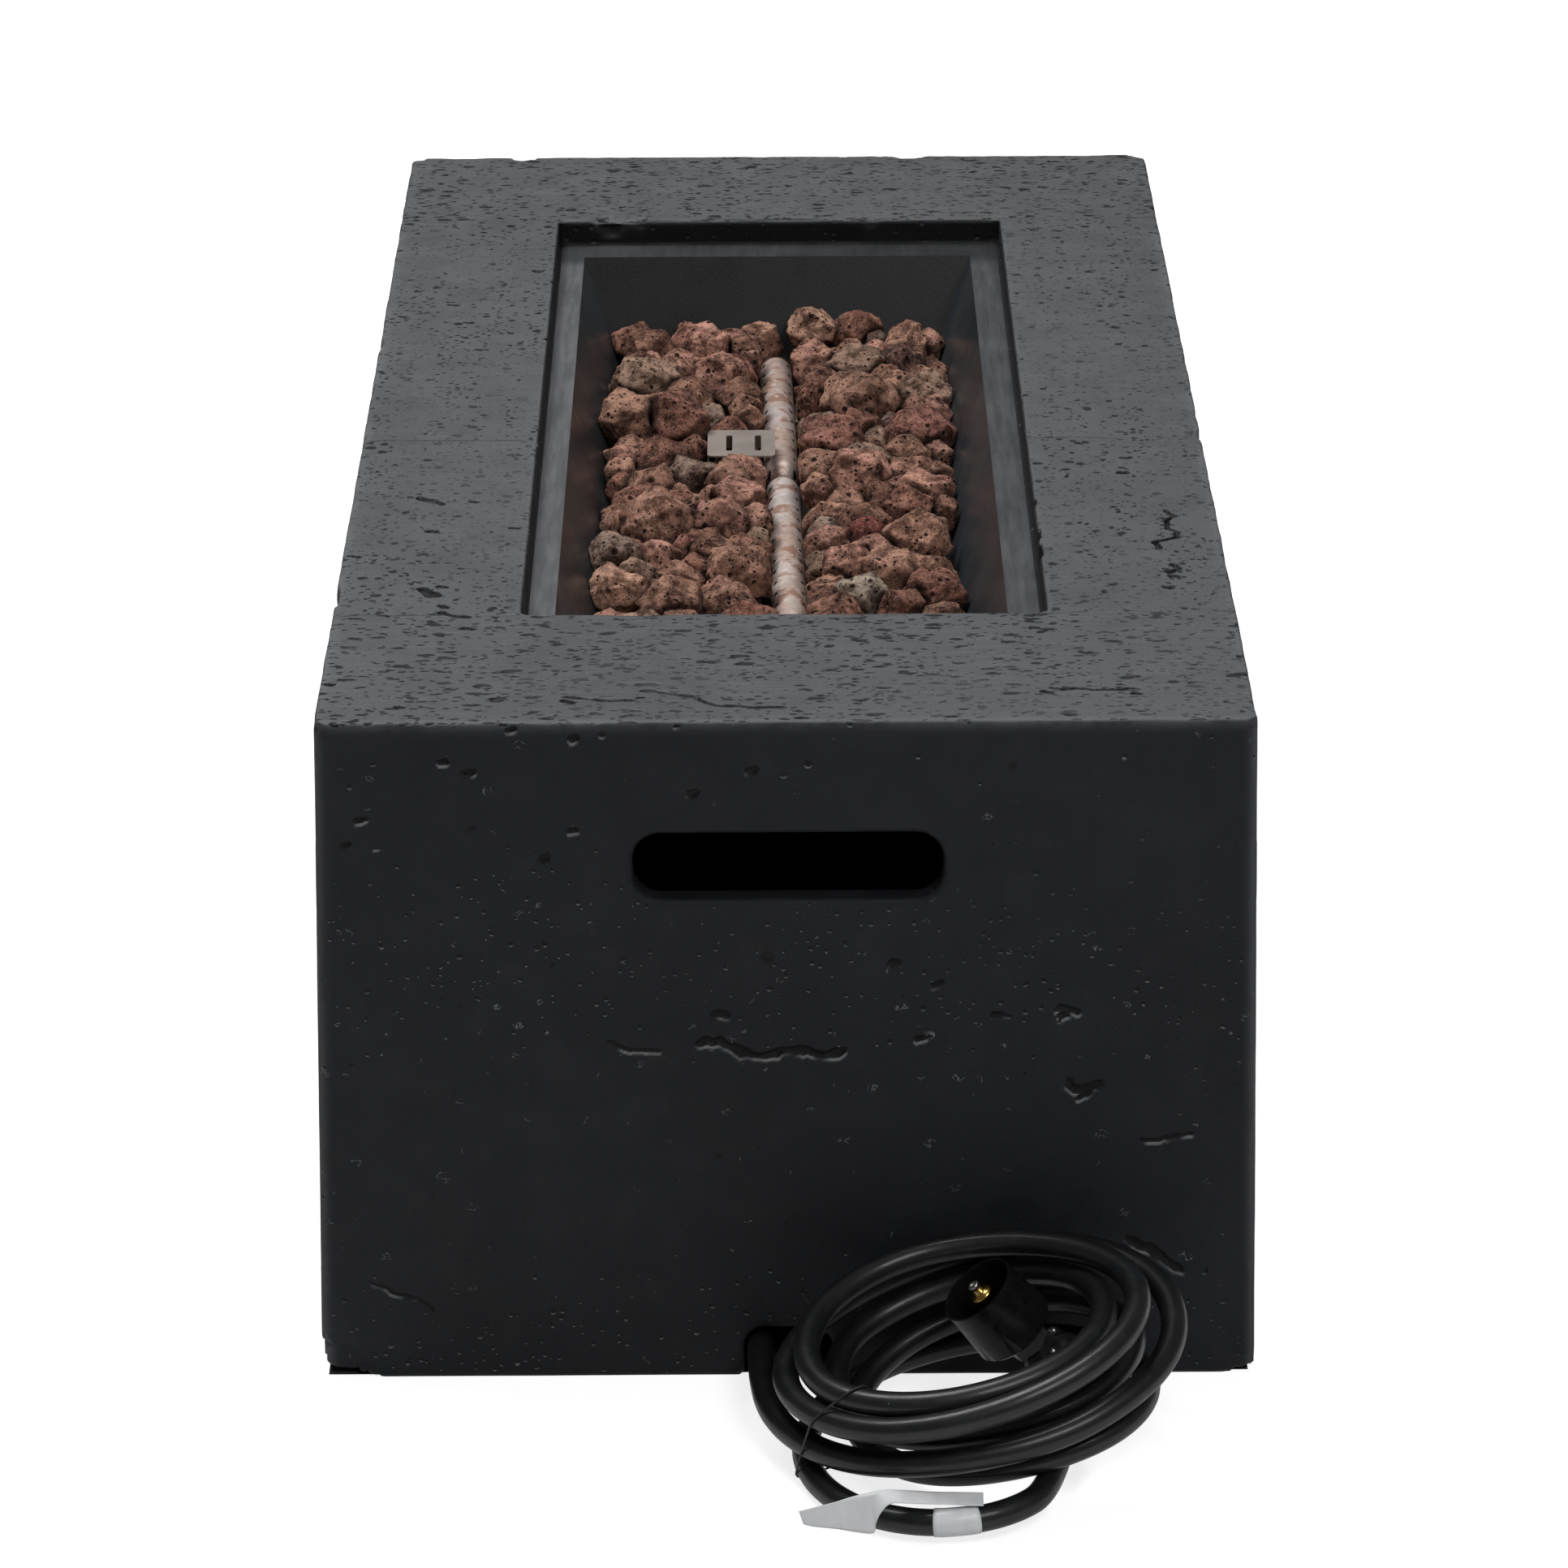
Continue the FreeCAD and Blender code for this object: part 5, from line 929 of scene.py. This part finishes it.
def make_body():
    """The cast body: edges rubbed down by wear, long pits and joints on top, sparse pits and cracks on the
    sides.
    """
    mesh = even_mesh("body_shell", CAST_GRID, (is_seen, is_fine))
    p, n = body_points(mesh)
    soften_lips(p)
    sharpen_rim(p)
    lean = LEAN * p[:, 2]
    gaps = np.stack([BASE_W / 2 - lean - np.abs(p[:, 0]), BASE_L / 2 - lean - np.abs(p[:, 1]),
                     HEIGHT - p[:, 2]], 1)
    first, second = np.sort(gaps, axis=1)[:, :2].T
    beside = np.minimum(gaps[:, 0], gaps[:, 1])
    foot = (p[:, 2] < 1 * MM) & (beside < 9 * MM)
    way = np.where(foot[:, None], 0.0, n)
    nearer = np.argmin(gaps[:, :2], axis=1)
    way[foot, nearer[foot]] = np.sign(p[foot, nearer[foot]])
    outward = np.where(gaps[:, :2] == gaps.min(axis=1)[:, None], np.sign(p[:, :2]) * n[:, :2], 0).sum(1)
    on_top = (n[:, 2] > 0.5) & (gaps[:, 2] < 3 * MM)
    outer = on_top | ((first < 3 * MM) & (outward > 0.3)) | foot
    hole = np.maximum(np.abs(p[:, 0]) - OPEN_W / 2, np.abs(p[:, 1] - OPEN_Y) - OPEN_L / 2)
    lip = (np.abs(hole) < 12 * MM) & (gaps[:, 2] < 12 * MM)
    near_lip = np.hypot(np.maximum(hole, 0), np.maximum(gaps[:, 2], 0))
    ends = on_top & (np.abs(p[:, 1] - OPEN_Y) > OPEN_L / 2)
    sides = on_top & ~ends
    walls = outer & ~on_top & ~foot

    depth = np.zeros(len(p))
    swell = 0.5 + 0.5 * rough_noise(p, 70 * MM, 1, 3)
    depth += np.where(outer, 0.3 * MM * np.clip(swell, 0, 1), 0)
    wear = np.exp(-((second / (4 * MM)) ** 2)) * (0.4 + 0.9 * rough_noise(p, 24 * MM, 5, 3))
    depth += np.where(outer & (second < 12 * MM), 0.8 * MM * np.clip(wear, 0, 1.6), 0)
    nibble = np.exp(-((near_lip / (3 * MM)) ** 2)) * (rough_noise(p, 14 * MM, 11, 3) - 0.15)
    depth += np.where(lip, 0.9 * MM * np.clip(nibble, 0, 1.2), 0)

    crowd = ramp(smooth_noise(p, 70 * MM, 21), -0.5, 0.5)
    pits = np.zeros(len(p))
    spot = p + 1.3 * MM * np.stack([rough_noise(p, 5 * MM, 31 + i, 2) for i in range(3)], 1)
    for mask, size, seed, share, radius in (
            (ends, (20 * MM, 7 * MM, 7 * MM), 41, 0.42, (0.14, 0.44)),
            (ends, (11 * MM, 5 * MM, 5 * MM), 47, 0.30, (0.18, 0.44)),
            (sides, (9 * MM, 8 * MM, 8 * MM), 43, 0.36, (0.14, 0.40)),
            (walls, (26 * MM, 26 * MM, 20 * MM), 45, 0.22, (0.05, 0.20))):
        here = np.where(mask)[0]
        found = pit_depth(spot[here], np.array(size), seed, share, radius)
        pits[here] = np.maximum(pits[here], ramp(found, 0.0, 0.5) * (0.55 + 0.45 * crowd[here]))
    shine = np.zeros(len(p))
    top_here = np.where(on_top)[0]
    cut = crack_depth(p[top_here, :2], 51, TOP_MARKS)
    pits[top_here] = np.maximum(pits[top_here], cut / (1.6 * MM))
    front = np.where(walls & (p[:, 1] < 0) & (gaps[:, 1] < 3 * MM))[0]
    cut = crack_depth(p[front][:, (0, 2)], 53, FRONT_MARKS)
    # painted highlight on the lower lip of each front crack, where light from above would fall
    above = crack_depth(p[front][:, (0, 2)] + (0, 1.8 * MM), 53, FRONT_MARKS)
    pits[front] = np.maximum(pits[front], cut / (1.6 * MM))
    broken = ramp(rough_noise(p[front], 9 * MM, 57, 2), -0.4, 0.5)
    shine[front] = np.clip((above - cut) / (1.2 * MM), 0, 1) * broken
    depth += pits * np.where(on_top, 1.5, 1.4) * MM
    for y, width in JOINTS:
        wave = p[:, 1] - y * MM + 1.5 * MM * smooth_noise(p, 20 * MM, 61)
        line = np.exp(-((wave / (width * 0.3 * MM)) ** 2)) * ramp(rough_noise(p, 26 * MM, 62, 2), -1.0, 0.4)
        line = np.where(on_top, line, 0)
        depth += 0.8 * MM * line
        pits = np.maximum(pits, 0.42 * line)
    moved = p - way * depth[:, None]
    for place, reach, deep in CHIPS:
        place = np.array(place) * MM
        gap = np.linalg.norm(p - place, axis=1) / (reach * MM)
        bite = np.clip(1 - gap - 0.25 * np.abs(rough_noise(p, 7 * MM, 71, 3)), 0, 1)
        bite = np.where(outer | lip, deep * MM * ramp(bite, 0, 0.55), 0)
        if place[2] < 0.1:
            moved[:, :2] -= np.sign(place[:2]) * 0.45 * bite[:, None]
            moved[:, 2] += 0.8 * bite
        else:
            moved -= way * bite[:, None]
    mesh.vertices.foreach_set("co", moved.ravel())
    mesh.update()
    body = new_object("cast_body", mesh)
    store(body, "pit", np.clip(pits, 0, 1))
    # keeps the painted crack-lip highlight for the material
    store(body, "shine", shine)
    # how much pale edge colour each point takes: wear, and also a painted rim highlight
    paler_share = np.where(outer, np.exp(-((second / (4.5 * MM)) ** 2)), 0)
    paler_share = np.maximum(paler_share, np.where(lip & on_top, 0.5 * np.exp(-((near_lip / (2.5 * MM)) ** 2)), 0))
    store(body, "edge", paler_share)
    stand_for(body, "cast_concrete", "body_shell")


# Hose and tag

def loop_value(row, turn):
    k = min(int(turn), len(LOOPS) - 2)
    t = (1 - math.cos(math.pi * (turn - k))) / 2
    return LOOPS[k][row] * (1 - t) + LOOPS[k + 1][row] * t


def turned(name, slot, profile, node):
    """A piece turned about the nut's axis in place of a node, from distances back from the tip and radii."""
    around = 40
    across, up = square_to(NUT_AXIS)
    points, faces = [], []
    for row, (back, radius) in enumerate(profile):
        for j in range(around):
            out = spoke(across, up, 2 * math.pi * j / around)
            points.append(NIPPLE_TIP - NUT_AXIS * back * MM + out * radius * MM)
            if row:
                a, b, k = (row - 1) * around, row * around, (j + 1) % around
                faces.append((a + k, a + j, b + j, b + k))
    piece = mesh_object(name, points, faces)
    stand_for(piece, slot, node)
    return piece


def nudge(turn):
    """The shift off the plain loops at a turn, eased from one row of the list to the next."""
    for (start, *before), (end, *after) in zip(NUDGES[:-1], NUDGES[1:]):
        if turn <= end:
            share = (turn - start) / (end - start)
            return Vector(before).lerp(Vector(after), share * share * (3 - 2 * share))
    return Vector(NUDGES[-1][1:])


def coil_point(turn):
    """A point of the hose's centre line, turn counted from the left side of the lowest, widest loop."""
    cx, cy, a, b, height, back, right = [loop_value(row, turn) for row in range(7)]
    angle = math.pi + 2 * math.pi * turn
    sin, cos = math.sin(angle), math.cos(angle)
    plain = Vector((cx + a * cos, cy + b * sin, height + back * sin + right * cos))
    return (plain + nudge(turn)) * MM


def make_hose():
    start = coil_point(0.0)
    entry = start - COIL_HEADING * HOSE_D
    points = [Vector(p) * MM for p in LEAD] + [entry - COIL_HEADING * LEAD_IN * MM, entry]
    steps = int(COIL_TURNS * POINTS_PER_TURN)
    points += [coil_point(i / POINTS_PER_TURN) for i in range(steps + 1)]
    points += [HOSE_END + OUTLET_AXIS * HOSE_D, HOSE_END]
    hose, spline = smooth_curve("hose", points, 10)
    spline.use_endpoint_u = True
    spline.use_smooth = True
    line = bpy.data.meshes.new_from_object(hose)
    route = [v.co.copy() for v in line.vertices]
    bpy.data.meshes.remove(line)
    hose.data.bevel_depth = HOSE_D / 2
    hose.data.bevel_resolution = 10
    hose.data.use_fill_caps = True
    stand_for(hose, "hose_rubber", "hose_lead", "hose_coil")
    return hose, points[0], route


def smooth_row(rows, t):
    """A point between rows of points, by a curve through them; t counts rows."""
    k = min(int(t), len(rows) - 2)
    f = t - k
    a, b, c, d = (Vector(rows[min(max(k + i, 0), len(rows) - 1)]) for i in (-1, 0, 1, 2))
    return (b * 2 + (c - a) * f + (a * 2 - b * 5 + c * 4 - d) * f * f + (b * 3 - a - c * 3 + d) * f ** 3) / 2


def make_tag(route):
    """The tag: a paper sleeve round the lowest turn, and a folded tail that leaves its top to the left."""
    middle = coil_point(TAG_TURN)
    nearest = min(range(len(route)), key=lambda i: (route[i] - middle).length)
    picked = [i for i in range(nearest - 60, nearest + 61) if 0 < i < len(route) - 1
              and (route[i] - route[nearest]).length < TAG_HALF + 0.2 * MM]
    around, points, faces = 48, [], []
    for row, i in enumerate(picked):
        side, up = square_to((route[i + 1] - route[i - 1]).normalized())
        for j in range(around):
            angle = 2 * math.pi * j / around
            out = spoke(side, up, angle)
            crease = 0.12 * MM * math.sin(angle * 5 + row * 0.5) * math.sin(row * 0.35)
            points.append(route[i] + out * (HOSE_D / 2 + 0.35 * MM + crease))
            if row:
                a, b = (row - 1) * around, row * around
                k = (j + 1) % around
                faces.append((a + j, a + k, b + k, b + j))
    first = len(points)
    columns, across = 66, 9
    tops, feet = [edge[0] for edge in TAG_TAIL], [edge[1] for edge in TAG_TAIL]
    for column in range(columns):
        t = column / (columns - 1) * (len(TAG_TAIL) - 1)
        top, foot = smooth_row(tops, t) * MM, smooth_row(feet, t) * MM
        fade = math.sin(math.pi * min(1.0, column / (columns - 1) * 1.4))
        for row in range(across):
            share = row / (across - 1)
            place = top.lerp(foot, share)
            bow = math.sin(math.pi * share) * (1.8 * fade - 0.5) * MM
            ripple = 0.35 * MM * math.sin(column * 0.42 + 0.8) * share
            place.y -= bow + ripple
            points.append(place)
            if column and row:
                a, b = first + (column - 1) * across + row, first + column * across + row
                faces.append((a - 1, b - 1, b, a))
    tag = mesh_object("tag", points, faces)
    thick = tag.modifiers.new("thick", "SOLIDIFY")
    thick.thickness = TAG_SHEET
    thick.offset = 0.0
    stand_for(tag, "tag_paper", "hose_tag")
    return tag


def make_tie(route):
    """The string round the turns at the front left, pulled tight over the strands that cross its plane."""
    out, rise = square_to(TIE_NORMAL)
    middle = Vector((LOOPS[0][0], LOOPS[0][1], 0)) * MM
    ring = []
    for before, place, after in zip(route[:-2], route[1:-1], route[2:]):
        if (place - middle).dot(out) * (TIE_FROM - middle).dot(out) < 0:
            continue
        side, up = square_to((after - before).normalized())
        for k in range(48):
            skin = place + spoke(side, up, math.pi * k / 24) * (HOSE_D / 2 + TIE_CLEAR)
            if abs((skin - TIE_FROM).dot(TIE_NORMAL)) < 0.9 * MM:
                ring.append(((skin - TIE_FROM).dot(out), (skin - TIE_FROM).dot(rise)))
    places = []
    for i in convex_hull_2d(ring):
        place = TIE_FROM + out * ring[i][0] + rise * ring[i][1]
        place.z = max(place.z, TIE_D * 0.6)
        places.append(place)
    tie, spline = smooth_curve("tie", places, 6)
    spline.use_cyclic_u = True
    tie.data.bevel_depth = TIE_D / 2
    tie.data.bevel_resolution = 3
    stand_for(tie, "tie_string", "hose_tie")
    return tie


# Lava rocks

BLEND = 56
TINTS = {
    "pale tan": (0.36, 0.222, 0.165), "tan": (0.275, 0.158, 0.117), "greyish tan": (0.245, 0.168, 0.128),
    "brown": (0.190, 0.102, 0.074), "red brown": (0.180, 0.086, 0.064), "pink": (0.315, 0.172, 0.136),
    "deep pink": (0.235, 0.112, 0.090), "grey": (0.200, 0.146, 0.120), "red": (0.150, 0.045, 0.038),
    "pale grey": (0.29, 0.25, 0.205), "dark": (0.095, 0.054, 0.044),
}
NOTED = [
    # place across and along the pan, tint, how porous
    (23, 307, "pale tan", 0.2), (-87, 207, "greyish tan", 0.4), (-98, 124, "tan", 0.2),
    (-72, 128, "red brown", 0.9), (-74, 59, "red brown", 0.9), (-76, -61, "tan", 0.5),
    (-27, -13, "pink", 0.5), (-40, -55, "pink", 0.7), (-102, -118, "grey", 1.4), (-99, -169, "pale tan", 0.2),
    (-68, -195, "tan", 0.5), (81, 248, "dark", 1.0), (51, 169, "tan", 0.6), (90, 103, "deep pink", 0.5),
    (33, 88, "deep pink", 0.8), (48, 30, "pink", 0.3), (52, -82, "red", 0.8), (84, -95, "tan", 0.6),
    (41, -135, "pink", 0.6), (64, -152, "tan", 0.2), (49, -182, "pale grey", 0.1),
]
PALETTE = ["tan", "pink", "brown", "red brown", "tan", "deep pink", "brown", "greyish tan", "tan", "pink",
           "red brown", "grey"]


def flat_sides(node):
    """Each stone of a CAD bed: its middle, its half height, and its flat sides as normals and distances."""
    mesh = bmesh.new()
    mesh.from_mesh(NODES[node].data)
    bmesh.ops.remove_doubles(mesh, verts=mesh.verts, dist=2e-5)
    seen = set()
    stones = []
    for start in mesh.faces:
        if start in seen:
            continue
        group, queue = [], [start]
        seen.add(start)
        while queue:
            face = queue.pop()
            group.append(face)
            for edge in face.edges:
                for other in edge.link_faces:
                    if other not in seen:
                        seen.add(other)
                        queue.append(other)
        places = np.array([v.co for face in group for v in face.verts])
        middle = (places.min(0) + places.max(0)) / 2
        sides = {}
        for face in group:
            normal = face.normal
            if face.calc_area() > 1e-7:
                key = (round(normal.x, 1), round(normal.y, 1), round(normal.z, 1))
                distance = normal.dot(face.verts[0].co - Vector(middle))
                sides.setdefault(key, (np.array(normal), distance))
        normals = np.array([side[0] for side in sides.values()])
        distances = np.maximum(np.array([side[1] for side in sides.values()]), 2 * MM)
        stones.append((middle, (places.max(0) - places.min(0)) / 2, normals, distances))
    mesh.free()
    return stones


def unit_ball(detail):
    mesh = bmesh.new()
    bmesh.ops.create_icosphere(mesh, subdivisions=detail, radius=1.0)
    points = np.array([v.co.normalized() for v in mesh.verts])
    faces = np.array([[v.index for v in f.verts] for f in mesh.faces])
    mesh.free()
    return points, faces


def clear_of_pan(points):
    """Pushes points out of the burner tube, and back inside the pan's sloping sides."""
    y = points[:, 1]
    x0 = TUBE_X - math.tan(TUBE_TURN) * (y - OPEN_Y)
    dx, dz = points[:, 0] - x0, points[:, 2] - TUBE_Z
    away = np.hypot(dx, dz)
    limit = TUBE_R + 0.8 * MM
    near = (away < limit) & (np.abs(y - OPEN_Y) < TUBE_LEN / 2 + 2 * MM)
    grow = np.where(near, limit / np.maximum(away, 1e-6), 1.0)
    points[:, 0] = x0 + dx * grow
    points[:, 2] = np.maximum(TUBE_Z + dz * grow, PAN_FLOOR + 2 * MM)
    inset = PAN_SLOPE * (FLANGE_TOP - points[:, 2]) + 0.4 * MM
    points[:, 0] = np.clip(points[:, 0], PAN_X - PAN_W / 2 + inset, PAN_X + PAN_W / 2 - inset)
    points[:, 1] = np.clip(points[:, 1], OPEN_Y - PAN_L / 2 + inset, OPEN_Y + PAN_L / 2 - inset)
    return points


def make_rocks(name, node, balls):
    """A bed of detailed stones, each grown from the flat sides of one stone of the CAD bed."""
    places, ways, sizes, tints, porous, faces, count = [], [], [], [], [], [], 0
    crevice_shading = []
    stones = flat_sides(node)
    for middle, half, normals, distances in stones:
        upper = middle[2] + half[2] > PAN_FLOOR + 44 * MM
        large = upper and half[:2].mean() > 13.5 * MM
        ball, ball_faces = balls[0 if large else 1 if upper else 2]
        along = np.maximum(ball @ normals.T, 0) / distances
        reach = (along ** BLEND).sum(1) ** (-1 / BLEND)
        reach = np.minimum(reach, 1.5 * half.max()) * rng.uniform(1.0, 1.05)
        noted = [row for row in NOTED if math.hypot(row[0] - middle[0] / MM, row[1] - middle[1] / MM) < 7]
        tint = np.array(TINTS[noted[0][2] if noted and upper else rng.choice(PALETTE)])
        # stones of the lower layer painted darker: painted shade under the upper stones
        tint = tint * rng.uniform(0.85, 1.15) * (1.0 if upper else 0.8)
        holes = noted[0][3] if noted and upper else rng.choice((0.2, 0.4, 0.6, 0.8, 1.0))
        surface = middle + ball * reach[:, None]
        # how close each point comes to the next stones, for painted shade where they meet
        close = np.full(len(ball), 9.0)
        for other, other_half, other_normals, other_distances in stones:
            meets = half.max() + other_half.max() + 6 * MM
            if other is not middle and np.linalg.norm(other - middle) < meets:
                beyond = ((surface - other) @ other_normals.T - other_distances).max(1)
                close = np.minimum(close, beyond)
        crevice_shading.append(1 - ramp(close, 0.5 * MM, 6.5 * MM))
        places.append(surface)
        ways.append(ball)
        sizes.append(np.full(len(ball), half.mean()))
        tints.append(np.tile([*tint, 1.0], (len(ball), 1)))
        porous.append(np.full(len(ball), holes))
        faces.append(ball_faces + count)
        count += len(ball)
    p, way, size = np.concatenate(places), np.concatenate(ways), np.concatenate(sizes)
    holes = np.concatenate(porous)
    lump = rough_noise(p, 16 * MM, 3, 2) * 0.12 * size
    ridge = (0.45 - np.abs(rough_noise(p, 10 * MM, 9, 3))) * 1.4 * MM
    rough = rough_noise(p, 3.4 * MM, 15, 3) * 0.6 * MM
    bent = p + 0.9 * MM * np.stack([smooth_noise(p, 3 * MM, 17 + i) for i in range(3)], 1)
    wide = pit_depth(bent, 8.0 * MM, 25, 0.34, (0.16, 0.46)) * np.clip(holes, 0, 1.2)
    small = pit_depth(bent, 3.8 * MM, 27, 0.50, (0.2, 0.46)) * (0.4 + 0.6 * holes)
    dent = ramp(wide, 0, 0.6) * 3.0 * MM + ramp(small, 0, 0.8) * 1.0 * MM
    p = clear_of_pan(p + way * (lump + ridge + rough - dent)[:, None])
    rocks = mesh_object(name, p, np.concatenate(faces))
    layer = rocks.data.attributes.new("tint", "FLOAT_COLOR", "POINT")
    layer.data.foreach_set("color", np.concatenate(tints).ravel())
    # painted shade in the dents of the pores
    store(rocks, "hollow_shade", np.clip(ramp(wide, 0.1, 0.6) + 0.7 * ramp(small, 0.15, 0.7), 0, 1))
    store(rocks, "crevice_shade", np.concatenate(crevice_shading))
    stand_for(rocks, "lava_rock", node)


def main():
    view = bpy.context.scene.view_settings
    view.view_transform = "Standard"
    make_camera()
    make_floor()
    make_light()
    hose, exit_place, route = make_hose()
    tag = make_tag(route)
    tie = make_tie(route)
    nipple = turned("nipple", "brass", NIPPLE, "inlet_nipple")
    ring = turned("nipple_ring", "plated_steel", NIPPLE_RING, "nipple_seal")
    for sub in frame["record"]["subparts"]:
        obj = NODES[sub["node"]]
        if not obj.hide_render:
            finish(obj, sub["material_slot"], SPECIAL.get(sub["node"]))
    make_body()
    balls = [unit_ball(5), unit_ball(4), unit_ball(3)]
    make_rocks("lava_bed_left", "lava_rocks_left", balls)
    make_rocks("lava_bed_right", "lava_rocks_right", balls)
    on_hose = ["hose_ferrule_valve", "hose_ferrule_regulator", "regulator_outlet", "regulator_body",
               "regulator_bonnet", "regulator_vent", "regulator_screws", "coupling_nut"]
    on_hose = [NODES[name] for name in on_hose] + [tag, tie, nipple, ring]


main()
